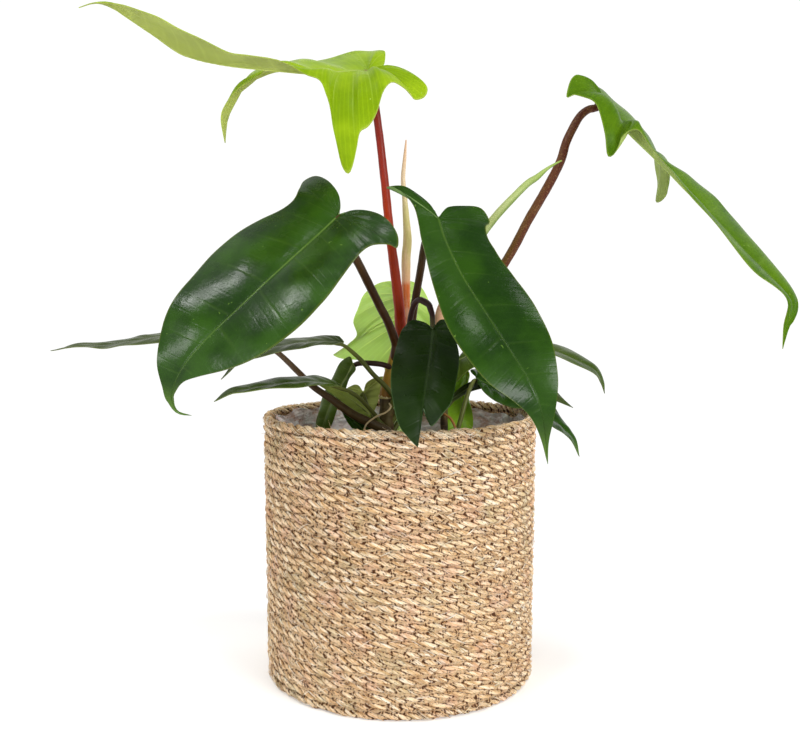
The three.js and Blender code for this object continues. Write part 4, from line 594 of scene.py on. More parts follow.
            (32, 15, 176, 0, 0), (36, 19, 182, 0, 0), (46, 25, 189, 0.1, 0), (63, 33, 194, 0.25, 1),
            (85, 41, 194, 0.45, 1), (104, 46, 187, 0.65, 1), (116, 46, 177, 0.85, 0), (124, 44, 170, 1, 0),
        ],
    },
    "blade_pale_right": {
        "slot": "young_leaf", "look": "young", "rows": 70, "columns": 10,
        "veins": 9, "quilt": 0.3, "wave": 0.4, "waves": 4,
        "midrib": [
            (47, 30, 197), (45, 32, 187), (43, 33, 175), (42, 33, 163), (41, 28, 142),
        ],
        "face": [(0.2, -1, 0.3), (0.2, -1, 0.2)],
        "left": [
            (47, 30, 197, 0, 0), (44, 28, 196, 0, 0), (38, 27, 189, 0.08, 1), (33, 27, 176, 0.3, 1),
            (32, 28, 160, 0.6, 1), (35, 28, 149, 0.8, 0), (41, 28, 142, 1, 0),
        ],
        "right": [
            (47, 30, 197, 0, 0), (49, 32, 194, 0, 0), (48, 36, 185, 0.1, 1), (50, 38, 173, 0.34, 1),
            (52, 37, 159, 0.6, 1), (49, 32, 149, 0.8, 0), (41, 28, 142, 1, 0),
        ],
    },
    "blade_low_inner": {
        "slot": "olive_leaf", "look": "moss", "rows": 70, "columns": 10,
        "veins": 9, "quilt": 0.25, "wave": 0.4, "waves": 4,
        "midrib": [
            (-25, 12, 184), (-29, 14, 177), (-31, 15, 170), (-32, 14, 162), (-29, 10, 155),
        ],
        "face": [(-0.2, 1, -0.3), (-0.2, 1, -0.2)],
        "left": [
            (-25, 12, 184, 0, 0), (-22, 18, 191, 0, 1), (-15, 22, 194, 0, 1), (-10, 24, 193, 0, 1),
            (-11, 24, 185, 0.05, 1), (-15, 24, 178, 0.2, 1), (-19, 22, 168, 0.4, 1), (-23, 18, 159, 0.7, 1),
            (-29, 10, 155, 1, 0),
        ],
        "right": [
            (-25, 12, 184, 0, 0), (-29, 16, 189, 0, 1), (-34, 16, 188, 0, 1), (-38, 16, 185, 0, 1),
            (-41, 14, 179, 0.1, 1), (-39, 12, 171, 0.35, 1), (-35, 10, 163, 0.65, 1), (-29, 10, 155, 1, 0),
        ],
    },
    "blade_inner_left": {
        "slot": "blue_leaf", "look": "olive", "rows": 70, "columns": 10,
        "veins": 9, "quilt": 0.3, "wave": 0.4, "waves": 4,
        "midrib": [
            (-31, -12, 205), (-35, -10, 197), (-41, -8, 188), (-47, -5, 176), (-51, -3, 165), (-55, 0, 152),
        ],
        "face": [(-0.6, -0.8, 0.3), (-0.6, -0.8, 0.2)],
        "left": [
            (-31, -12, 205, 0, 0), (-33, -9, 210, 0, 0), (-38, -5, 207, 0.04, 1), (-44, -2, 198, 0.2, 1),
            (-50, 2, 186, 0.42, 1), (-55, 5, 173, 0.62, 1), (-57, 6, 161, 0.82, 1), (-55, 0, 152, 1, 0),
        ],
        "right": [
            (-31, -12, 205, 0, 0), (-29, -15, 202, 0, 0), (-33, -14, 196, 0.1, 1), (-36, -13, 188, 0.3, 1),
            (-41, -11, 176, 0.5, 1), (-45, -8, 165, 0.7, 1), (-49, -4, 157, 0.9, 0), (-55, 0, 152, 1, 0),
        ],
    },
    "blade_left_upper": {
        "slot": "olive_leaf", "look": "grey", "rows": 70, "columns": 10,
        "veins": 10, "quilt": 0.25, "wave": 0.4, "waves": 4,
        "midrib": [
            (-36, -26, 220), (-50, -31, 221), (-66, -37, 220), (-85, -46, 216), (-100, -52, 209),
            (-109, -54, 199),
        ],
        "face": [(0, -0.2, 1), (-0.3, -0.2, 1), (-0.8, -0.2, 0.6)],
        "left": [
            (-36, -26, 220, 0, 0), (-40, -20, 224, 0, 0), (-53, -18, 224, 0.06, 1),
            (-67, -22, 223, 0.25, 1), (-87, -33, 217, 0.52, 1), (-101, -46, 210, 0.78, 0),
            (-109, -54, 199, 1, 0),
        ],
        "right": [
            (-36, -26, 220, 0, 0), (-40, -33, 220, 0, 0), (-52, -42, 219, 0.06, 1),
            (-64, -50, 217, 0.25, 1), (-83, -56, 214, 0.52, 1), (-98, -57, 208, 0.78, 0),
            (-109, -54, 199, 1, 0),
        ],
    },
    "blade_left_lower": {
        "slot": "olive_leaf", "look": "olive", "rows": 70, "columns": 10,
        "veins": 10, "quilt": 0.25, "wave": 0.4, "waves": 4,
        "midrib": [
            (-37, -34, 193), (-50, -41, 196), (-61, -49, 197), (-78, -60, 196), (-95, -70, 194),
            (-102, -74, 192), (-109, -76, 188),
        ],
        "face": [(0, -0.2, 1), (-0.1, -0.2, 1), (-0.4, -0.2, 0.9)],
        "left": [
            (-37, -34, 193, 0, 0), (-42, -28, 196, 0, 0), (-52, -28, 199, 0.06, 1), (-63, -33, 199, 0.2, 1),
            (-80, -44, 198, 0.46, 1), (-96, -60, 196, 0.74, 0), (-104, -69, 193, 0.9, 0),
            (-109, -76, 188, 1, 0),
        ],
        "right": [
            (-37, -34, 193, 0, 0), (-41, -42, 194, 0, 0), (-50, -52, 195, 0.06, 1), (-60, -60, 195, 0.2, 1),
            (-77, -70, 195, 0.46, 1), (-94, -76, 193, 0.74, 0), (-102, -77, 191, 0.9, 0),
            (-109, -76, 188, 1, 0),
        ],
    },
    "blade_far_left": {
        "slot": "olive_leaf", "look": "grey", "rows": 80, "columns": 10,
        "veins": 10, "quilt": 0.25, "wave": 0.4, "waves": 4,
        "midrib": [
            (-111, 6, 230), (-136, 14, 227), (-166, 24, 222), (-188, 30, 218), (-211, 36, 215),
            (-232, 40, 214), (-249, 44, 211),
        ],
        "face": [(0, -0.1, 1), (0, -0.1, 1)],
        "left": [
            (-111, 6, 230, 0, 0), (-118, 14, 232, 0, 0), (-142, 27, 229, 0.08, 1), (-169, 39, 224, 0.26, 1),
            (-192, 44, 220, 0.42, 1), (-214, 46, 217, 0.6, 0), (-234, 46, 215, 0.8, 0),
            (-249, 44, 211, 1, 0),
        ],
        "right": [
            (-111, 6, 230, 0, 0), (-115, -4, 229, 0, 0), (-136, 0, 225, 0.08, 1), (-162, 9, 219, 0.26, 1),
            (-184, 17, 216, 0.42, 1), (-208, 26, 214, 0.6, 0), (-230, 35, 214, 0.8, 0),
            (-249, 44, 211, 1, 0),
        ],
    },
    "blade_low_left": {
        "slot": "bright_leaf", "look": "moss", "rows": 60, "columns": 10,
        "veins": 8, "quilt": 0.25, "wave": 0.3, "waves": 4,
        "midrib": [
            (-19, -4, 171), (-25, -10, 177), (-34, -17, 184), (-43, -20, 189), (-52, -21, 192),
        ],
        "face": [(-0.4, -0.5, 0.8), (-0.4, -0.5, 0.8)],
        "left": [
            (-19, -4, 171, 0, 0), (-19, -1, 175, 0, 1), (-26, -7, 182, 0.15, 1), (-35, -14, 188, 0.4, 1),
            (-43, -19, 192, 0.7, 0), (-52, -21, 192, 1, 0),
        ],
        "right": [
            (-19, -4, 171, 0, 0), (-21, -9, 168, 0, 1), (-29, -15, 173, 0.15, 1), (-36, -18, 180, 0.4, 1),
            (-43, -20, 186, 0.7, 0), (-52, -21, 192, 1, 0),
        ],
    },
    "blade_low_front": {
        "slot": "dark_leaf", "look": "dark", "rows": 50, "columns": 8,
        "veins": 7, "quilt": 0.2, "wave": 0.2, "waves": 3,
        "midrib": [
            (-20, -5, 156), (-26, -8, 163), (-33, -11, 170), (-39, -13, 177),
        ],
        "face": [(-0.5, -0.5, 0.7), (-0.5, -0.5, 0.7)],
        "left": [
            (-20, -5, 156, 0, 0), (-19, -1, 160, 0, 0), (-23, -3, 167, 0.2, 1), (-32, -8, 174, 0.55, 1),
            (-37, -12, 176, 0.85, 0), (-39, -13, 177, 1, 0),
        ],
        "right": [
            (-20, -5, 156, 0, 0), (-25, -8, 156, 0, 0), (-30, -10, 161, 0.2, 1), (-35, -12, 168, 0.5, 1),
            (-38, -13, 174, 0.85, 0), (-39, -13, 177, 1, 0),
        ],
    },
}

# Stems and stalks, as name, slot, look, sides, the leaf that is carried, and path of (x, y, z, radius)
STALKS = [
    ("main_stem", "stem_bark", "bark", 24, None, [
        (-9, 1, 116, 4.8), (-9, 0, 133, 4.8), (-9, 0, 153, 4.8), (-9, 0, 170, 4.8), (-9, 0, 182, 4.6),
    ]),
    ("second_stem", "stem_bark", "bark", 24, None, [
        (30, 4, 116, 2.5), (30, 3, 138, 2.5), (30, 3, 156, 2.5), (29, 2, 178, 2.6), (27, 0, 203, 3),
    ]),
    ("leaf_base_sheath", "orange_sheath", "orange", 24, None, [
        (-9, 0, 182, 4.9), (-8, 0, 190, 4.6), (-6, 0, 200, 4), (-4, -1, 208, 3.4), (-3, -1, 216, 2.6),
    ]),
    ("peach_sheath", "peach_sheath", "peach", 24, None, [
        (27, 0, 203, 3.6), (26, -3, 217, 3.5), (26, -6, 233, 3.3), (27, -9, 241, 3.1), (30, -11, 247, 2.8),
    ]),
    ("new_leaf_spear", "young_leaf", "spear", 24, None, [
        (30, -11, 247, 2.7), (35, -14, 258, 2.8), (42, -18, 271, 2.8), (51, -22, 287, 2.7),
        (60, -25, 299, 2.6), (69, -28, 309, 2.4), (79, -30, 319, 2.2), (85, -32, 323, 1.9),
        (91, -33, 328, 1.1), (96, -34, 331, 0.7), (100, -34, 333, 0.4),
    ]),
    ("stalk_upper_left", "red_stalk", "red", 24, "blade_upper_left", [
        (-6, 3, 194, 3.6), (-3, 6, 205, 3.9), (1, 6, 217, 3.8), (0, 3, 234, 3.7), (-1, -2, 247, 3.5),
        (-6, -5, 286, 3), (-10, -8, 324, 2.7), (-15, -11, 366, 2.5), (-20, -12, 389, 2.2),
    ]),
    ("stalk_back", "olive_stalk", "olive", 16, "blade_back", [
        (-6, 4, 192, 2.2), (1, 8, 203, 2.2), (0, 9, 217, 2.1), (-1, 10, 233, 2), (-1, 15, 245, 1.9),
        (-1, 21, 249, 1.8), (-1, 25, 250, 1.6),
    ]),
    ("spear_sheath", "orange_sheath", "tall_sheath", 24, None, [
        (-5, 4, 194, 2.6), (-1, 9, 203, 2.9), (1, 13, 212, 2.8), (3, 13, 223, 2.8), (4, 11, 244, 2.8),
        (4, 9, 262, 2.9), (4, 8, 275, 3.1), (5, 7, 287, 2.9), (4, 5, 302, 2.2), (3, 4, 315, 1.7),
        (2, 4, 327, 1.5), (3, 4, 339, 1.2), (4, 4, 352, 0.4),
    ]),
    ("stalk_front_right", "brown_stalk", "brown", 24, "blade_front_right", [
        (-3, 0, 196, 2.6), (4, -2, 206, 2.6), (6, -5, 217, 2.6), (8, -9, 234, 2.6), (10, -18, 248, 2.5),
        (13, -30, 266, 2.4), (15, -40, 280, 2.4), (18, -46, 288, 2.3), (22, -52, 296, 2.1),
    ]),
    ("stalk_front_left", "brown_stalk", "brown", 24, "blade_front_left", [
        (-4, -1, 206, 3), (-3, -3, 213, 3.1), (-3, -4, 219, 3), (-8, -12, 233, 2.8), (-13, -18, 243, 2.8),
        (-24, -34, 266, 2.7), (-31, -46, 280, 2.6), (-35, -60, 295, 2.3),
    ]),
    ("stalk_front_centre", "brown_stalk", "plum", 24, "blade_front_centre", [
        (-2, -1, 200, 1.8), (4, -5, 207, 1.8), (7, -9, 216, 1.8), (6, -15, 228, 1.8), (7, -20, 237, 1.8),
        (9, -24, 244, 1.9), (12, -28, 247, 2), (15, -32, 246, 2.1), (18, -36, 244, 2), (19, -39, 241, 1.9),
        (20, -42, 237, 1.7), (20, -44, 232, 1.5),
    ]),
    ("stalk_upper_right", "brown_stalk", "brown_long", 24, "blade_upper_right", [
        (-8, 2, 162, 2.8), (-3, 6, 171, 2.8), (4, 9, 181, 2.8), (17, 12, 198, 2.9), (40, 10, 227, 3),
        (69, 0, 271, 3), (85, -4, 301, 3), (96, -9, 321, 3), (103, -13, 336, 2.9), (106, -15, 347, 2.8),
        (110, -16, 356, 2.7), (114, -18, 363, 2.6), (119, -19, 367, 2.5), (124, -20, 368, 2.3),
        (127, -20, 372, 2),
    ]),
    ("stalk_pale_right", "olive_stalk", "olive", 16, "blade_pale_right", [
        (-8, 2, 152, 1.8), (-2, 6, 163, 1.8), (7, 10, 174, 1.8), (20, 14, 184, 1.8), (34, 19, 193, 1.7),
        (43, 21, 197, 1.5), (46, 27, 199, 1.5), (47, 30, 197, 1.3),
    ]),
    ("stalk_low_right_under", "olive_stalk", "olive", 16, "blade_low_right_under", [
        (-8, -1, 162, 1.9), (-1, 1, 172, 1.9), (8, 6, 181, 1.9), (20, 11, 194, 1.8), (31, 17, 202, 1.7),
        (38, 19, 205, 1.5),
    ]),
    ("stalk_low_right", "olive_stalk", "olive", 16, "blade_low_right", [
        (33, -5, 116, 1.8), (33, -4, 142, 1.8), (36, -3, 154, 1.7), (39, -1, 162, 1.6), (43, 2, 176, 1.6),
        (46, 5, 185, 1.5), (49, 8, 191, 1.5), (52, 10, 193, 1.3),
    ]),
    ("stalk_low_right_side", "olive_stalk", "olive", 16, "blade_low_right_side", [
        (30, 3, 150, 1.8), (30, 4, 158, 1.8), (30, 5, 166, 1.8), (31, 11, 174, 1.7), (32, 14, 176, 1.4),
    ]),
    ("stalk_left_upper", "olive_stalk", "olive", 16, "blade_left_upper", [
        (-8, -1, 172, 1.8), (-4, -5, 182, 1.8), (-7, -7, 187, 1.7), (-12, -10, 193, 1.6),
        (-17, -13, 198, 1.6), (-25, -18, 208, 1.5), (-32, -23, 215, 1.3), (-36, -26, 220, 1.1),
    ]),
    ("stalk_left_lower", "olive_stalk", "olive", 16, "blade_left_lower", [
        (-8, -2, 152, 1.7), (-8, -6, 160, 1.7), (-14, -8, 167, 1.6), (-16, -10, 171, 1.5),
        (-22, -17, 179, 1.4), (-26, -23, 184, 1.4), (-32, -29, 189, 1.3), (-37, -34, 193, 1.1),
    ]),
    ("stalk_far_left", "brown_stalk", "dark_brown", 24, "blade_far_left", [
        (-8, -3, 150, 3.2), (-8, -10, 160, 3.2), (-17, -16, 166, 3.1), (-30, -20, 173, 2.9),
        (-44, -21, 183, 2.4), (-56, -18, 191, 2.1), (-66, -14, 200, 2), (-80, -6, 212, 1.8),
        (-96, 2, 222, 1.6), (-110, 6, 229, 1.3),
    ]),
    ("stalk_inner_left", "brown_stalk", "black_brown", 16, "blade_inner_left", [
        (-5, -1, 202, 1.9), (-13, -9, 205, 1.8), (-23, -13, 206, 1.8), (-29, -16, 205, 1.6),
    ]),
    ("stalk_low_inner", "olive_stalk", "olive", 16, "blade_low_inner", [
        (-8, 4, 156, 1.6), (-16, 5, 166, 1.5), (-18, 6, 170, 1.5), (-22, 9, 175, 1.4), (-25, 11, 183, 1.2),
    ]),
    ("stalk_low_left", "olive_stalk", "olive", 16, "blade_low_left", [
        (-8, -1, 158, 1.5), (-14, -3, 165, 1.4), (-17, -4, 169, 1.2), (-19, -4, 171, 1.1),
    ]),
    ("stalk_low_front", "olive_stalk", "olive", 16, "blade_low_front", [
        (-9, -1, 136, 1.4), (-14, -3, 144, 1.4), (-18, -4, 150, 1.3), (-21, -5, 155, 1.1),
    ]),
    ("aerial_root", "pale_root", "root", 16, None, [
        (-8, -2, 179, 0.55), (-6, -10, 177, 0.55), (-9, -15, 174, 0.55), (-15, -20, 172, 0.55),
        (-21, -24, 168, 0.55), (-23, -24, 164, 0.55), (-26, -20, 156, 0.55), (-27, -16, 148, 0.55),
        (-27, -15, 136, 0.55), (-27, -14, 118, 0.55),
    ]),
    ("tendril", "brown_stalk", "tendril", 16, None, [
        (29, 1, 170, 0.9), (30, -4, 171, 0.9), (34, -6, 168, 0.9), (37, -8, 161, 0.9), (38, -8, 153, 0.9),
        (38, -8, 144, 0.9), (38, -8, 130, 0.9), (38, -8, 118, 0.9),
    ]),
]


# Curves

def through(points, t):
    """Smooth curve through the points, t from 0 to 1."""
    p = np.asarray(points, float)
    if p.ndim == 1:
        p = p[:, None]
    n = len(p)
    ext = np.vstack([2 * p[0] - p[1], p, 2 * p[-1] - p[-2]])
    x = np.clip(np.asarray(t, float), 0, 1) * (n - 1)
    i = np.minimum(x.astype(int), n - 2)
    w = (x - i)[..., None]
    a, b, c, d = ext[i], ext[i + 1], ext[i + 2], ext[i + 3]
    v0, v1 = (c - a) / 2, (d - b) / 2
    return (2 * b - 2 * c + v0 + v1) * w**3 + (-3 * b + 3 * c - 2 * v0 - v1) * w**2 + v0 * w + b


def length_table(points, count=400):
    """Curve values from 0 to 1 and the length that the curve has run at each."""
    t = np.linspace(0, 1, count + 1)
    q = through(points, t)
    steps = np.linalg.norm(np.diff(q[:, :3], axis=0), axis=1)
    return t, np.concatenate([[0], np.cumsum(steps)])


def at_share(points, share):
    """Points of the curve at shares of its own length."""
    t, run = length_table(points)
    return through(points, np.interp(np.clip(share, 0, 1) * run[-1], run, t))


def curve_length(points):
    return length_table(points)[1][-1]


def unit(v):
    return v / np.maximum(np.linalg.norm(v, axis=-1, keepdims=True), 1e-9)


def rib_frames(leaf, share):
    """Midrib points, their direction, the way the upper face looks, and across, at shares of the midrib."""
    here = at_share(leaf["midrib"], share)
    ahead = at_share(leaf["midrib"], np.minimum(share + RIB_STEP, 1))
    behind = at_share(leaf["midrib"], np.maximum(share - RIB_STEP, 0))
    along = unit(ahead - behind)
    face = through(leaf["face"], share)
    face = unit(face - along * np.sum(face * along, -1, keepdims=True))
    return here, along, face, np.cross(along, face)


# Leaf blades

def flat_half(leaf, side, t, reach):
    """Points of one half of a leaf that is folded and curled from a flat outline."""
    outline = through(leaf["left" if side > 0 else "right"], t)
    foot = np.clip(outline[:, 2], 0, 1)
    here, along, face, across = rib_frames(leaf, foot)
    size = curve_length(leaf["midrib"])
    forward = (outline[:, 0] - foot) * size
    outward = np.maximum(outline[:, 1], 0) * size
    rib = np.maximum(np.hypot(forward, outward), 1e-6)
    direction = along * (forward / rib)[:, None] + across * (side * outward / rib)[:, None]
    fold = np.radians(through(leaf["fold"], t))
    curl = np.radians(through(leaf["curl"], t)) / CURL_RUN
    distance = rib[:, None] * reach[None, :]
    flat = (np.sin(fold) - np.sin(fold - curl * distance)) / curl
    lift = (np.cos(fold - curl * distance) - np.cos(fold)) / curl
    points = here[:, None] + direction[:, None] * flat[..., None] + face[:, None] * lift[..., None]
    return points, foot, rib


def edge_half(leaf, side, t, reach):
    """Points of one half of a leaf whose edge is given in space."""
    edge = through(leaf["left" if side > 0 else "right"], t)
    foot = np.clip(edge[:, 3], 0, 1)
    here, along, face, across = rib_frames(leaf, foot)
    chord = edge[:, :3] - here
    rib = np.maximum(np.linalg.norm(chord, axis=1), 1e-6)
    straight = chord / rib[:, None]
    lift = unit(face - straight * np.sum(face * straight, -1, keepdims=True))
    bow = np.minimum(edge[:, 4], rib / 2)[:, None] * (4 * reach * (1 - reach))[None, :]
    points = here[:, None] + chord[:, None] * reach[None, :, None] + lift[:, None] * bow[..., None]
    return points, foot, rib


def zip_triangles(rows, feet, add, column):
    """Triangles between the midrib and the first column of one half."""
    j = 0
    i = 1
    while j < rows or i < rows:
        turn = i < rows - 1 and feet[i + 1] <= (j + 1) / rows
        if j == rows or turn:
            if i + 1 < rows:
                add(j, column(i), column(i + 1))
            i += 1
        else:
            add(j, column(i), j + 1)
            j += 1


def leaf_sheet(leaf, rows, reach):
    """Upper sheet of a leaf: points, t, reach and rib length at each, triangles and the edge loop."""
    columns = len(reach)
    t = np.linspace(0, 1, rows + 1)
    points = [at_share(leaf["midrib"], t)]
    facts = [np.stack([t, np.zeros(rows + 1), np.zeros(rows + 1)], 1)]
    triangles = []
    edges = []
    start = rows + 1
    half = flat_half if "fold" in leaf else edge_half
    for side in (1, -1):
        grid, feet, rib = half(leaf, side, t, reach)
        points.append(grid[1:rows].reshape(-1, 3))
        along = np.repeat(t[1:rows, None], columns, 1)
        share = np.repeat(reach[None, :], rows - 1, 0)
        across = rib[1:rows, None] * reach[None, :]
        facts.append(np.stack([along.ravel(), share.ravel(), across.ravel()], 1))

        def cell(i, k, start=start):
            if i == 0:
                return 0
            return rows if i == rows else start + (i - 1) * columns + k - 1

        def add(a, b, c, side=side):
            triangles.append((a, b, c) if side > 0 else (a, c, b))

        zip_triangles(rows, feet, add, lambda i: cell(i, 1))
        for i in range(rows):
            for k in range(1, columns):
                if i > 0:
                    add(cell(i, k), cell(i, k + 1), cell(i + 1, k + 1))
                else:
                    add(0, cell(1, k + 1), cell(1, k))
                if 0 < i < rows - 1:
                    add(cell(i, k), cell(i + 1, k + 1), cell(i + 1, k))
        edges.append([cell(i, columns) for i in range(1, rows)])
        start += (rows - 1) * columns
    loop = [0] + edges[0] + [rows] + edges[1][::-1]
    return np.vstack(points), np.vstack(facts), np.array(triangles), loop


def sheet_normals(points, triangles):
    a, b, c = (points[triangles[:, n]] for n in range(3))
    cross = np.cross(b - a, c - a)
    normals = np.zeros_like(points)
    for n in range(3):
        np.add.at(normals, triangles[:, n], cross)
    return unit(normals)


def blade_relief(leaf, points, t, share, across):
    """Height of a blade's soft swells, waved edge and quilting between its veins."""
    inner = np.minimum(across / QUILT_START, 1) * (1 - share**6)
    quilt = -np.cos(2 * math.pi * leaf["veins"] * t) * leaf["quilt"] * inner
    x, y, z = points.T
    swell = np.sin(x / 9 + z / 13) * np.sin(y / 8 - z / 11) + 0.6 * np.sin(x / 5 - y / 6 + z / 7)
    swell = swell * leaf["quilt"] * SWELL * np.minimum(across / SWELL_START, 1)
    wave = leaf["wave"] * share**3 * np.sin(2 * math.pi * leaf["waves"] * t)
    return quilt + swell + wave * np.minimum(across / WAVE_START, 1)


def blade_mesh(leaf):
    """Closed blade with its relief, and a midrib that is sunk above and raised below."""
    reach = np.linspace(0, 1, leaf["columns"] + 1)[1:] ** COLUMN_CROWDING
    points, facts, triangles, loop = leaf_sheet(leaf, leaf["rows"], reach)
    t, share, across = facts.T
    normals = sheet_normals(points, triangles)
    relief = blade_relief(leaf, points, t, share, across)
    crease = MIDRIB_CREASE * (1 - 0.6 * t)
    groove = -crease * np.exp(-((across / MIDRIB_WIDTH) ** 2)) * (share > 0)
    ridge = RIDGE_HEIGHT * np.exp(-((across / RIDGE_WIDTH) ** 2)) * np.minimum(1, 4 * (1 - t)) * (t > 0.01)
    top = points + normals * (relief + groove)[:, None]
    bottom = points + normals * (relief - LEAF_THICKNESS - ridge)[:, None]
    count = len(points)
    faces = [tuple(f) for f in triangles]
    faces += [(a + count, c + count, b + count) for a, b, c in triangles]
    for n, a in enumerate(loop):
        b = loop[(n + 1) % len(loop)]
        faces.append((a, a + count, b + count, b))
    values = {
        "along": np.tile(t, 2),
        "reach": np.tile(share, 2),
        "across": np.tile(across, 2),
        "under": np.repeat([0.0, 1.0], count),
    }
    return np.vstack([top, bottom]), faces, values


# Tubes

def band(low, high, sides, turned=False):
    """Faces between two rings of points, whose first points are low and high."""
    faces = []
    for k in range(sides):
        m = (k + 1) % sides
        if turned:
            faces.append((low + m, low + k, high + k, high + m))
        else:
            faces.append((low + k, low + m, high + m, high + k))
    return faces


def tube_faces(start, steps, sides, turned=False):
    """Faces of a tube with closed ends, made of rings of points."""
    faces = []
    for n in range(steps):
        faces += band(start + n * sides, start + (n + 1) * sides, sides, turned)
    end = start + steps * sides
    first = tuple(range(start, start + sides))
    last = tuple(range(end, end + sides))
    return faces + ([first, last[::-1]] if turned else [first[::-1], last])


def tube_mesh(path, sides, bumps, seed):
    """Closed round tube along [x, y, z, radius], with faint lengthwise unevenness."""
    table = np.asarray(path, float)
    t, run = length_table(table[:, :3])
    size = run[-1]
    count = max(4, int(size / TUBE_STEP))
    share = np.linspace(0, 1, count + 1)
    centre = through(table, np.interp(share * size, run, t))
    radius = np.maximum(centre[:, 3], 0.15)
    centre = centre[:, :3]
    along = unit(np.gradient(centre, axis=0))
    across = np.array([1.0, 0, 0]) if abs(along[0][0]) < 0.8 else np.array([0, 1.0, 0])
    phase = np.random.default_rng(seed).uniform(0, 2 * math.pi, 6)
    angles = np.linspace(0, 2 * math.pi, sides, endpoint=False)
    points = []
    for n in range(count + 1):
        across = unit(across - along[n] * np.dot(across, along[n]))
        other = np.cross(along[n], across)
        place = share[n] * size
        rough = np.sin(3 * angles + 0.11 * place + phase[0]) + np.sin(5 * angles - 0.23 * place + phase[1])
        rough = rough + math.sin(0.31 * place + phase[2]) + np.sin(2 * angles + 0.7 * place + phase[3])
        r = radius[n] * (1 + bumps * rough)
        ring = np.outer(np.cos(angles) * r, across) + np.outer(np.sin(angles) * r, other)
        points.append(centre[n] + ring)
    turn = np.tile(angles, count + 1)
    fibre = np.stack([np.cos(turn), np.sin(turn), np.repeat(share * size, sides)], -1)
    values = {"along": np.repeat(share, sides), "fibre": fibre}
    return np.vstack(points), tube_faces(0, count, sides), values


def stalk_path(path, carries):
    """The stalk's path, carried on under the midrib of its leaf."""
    if carries is None:
        return path
    leaf = LEAVES[carries]
    size = curve_length(leaf["midrib"])
    radius = path[-1][3]
    longer = list(path[:-1])
    for distance, share, sink in UNDER_LEAF:
        here, along, face, across = rib_frames(leaf, np.array([min(distance / size, 0.5)]))
        place = here[0] - face[0] * (LEAF_THICKNESS + sink * radius * share)
        longer.append((*place, radius * share))
    return longer


# Pieces

def make_piece(name, mesh_data, material, nodes, sharp=SHARP_PLAIN):
    """One piece from points in millimetres, faces and the values that its material reads."""
    points, faces, values = mesh_data
    mesh = bpy.data.meshes.new(name)
    mesh.from_pydata((np.asarray(points) * MM).tolist(), [], [tuple(int(v) for v in f) for f in faces])
    for key, data in values.items():
        data = np.asarray(data, np.float32)
        if data.ndim == 1:
            mesh.attributes.new(key, "FLOAT", "POINT").data.foreach_set("value", data)
        else:
            mesh.attributes.new(key, "FLOAT_VECTOR", "POINT").data.foreach_set("vector", data.ravel())
    mesh.polygons.foreach_set("use_smooth", [True] * len(mesh.polygons))
    mesh.set_sharp_from_angle(angle=math.radians(sharp))
    mesh.materials.append(material)
    mesh.update()
    piece = bpy.data.objects.new(name, mesh)
    bpy.context.scene.collection.objects.link(piece)
    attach(piece, "root")
    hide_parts(*nodes)


# Material helpers

def map_range(tree, source, numbers, kind="LINEAR"):
    """A value mapped from low and high to a new low and high."""
    made = tree.nodes.new("ShaderNodeMapRange")
    made.interpolation_type = kind
    tree.links.new(source, made.inputs[0])
    for n, number in enumerate(numbers):
        made.inputs[n + 1].default_value = number
    return made.outputs[0]


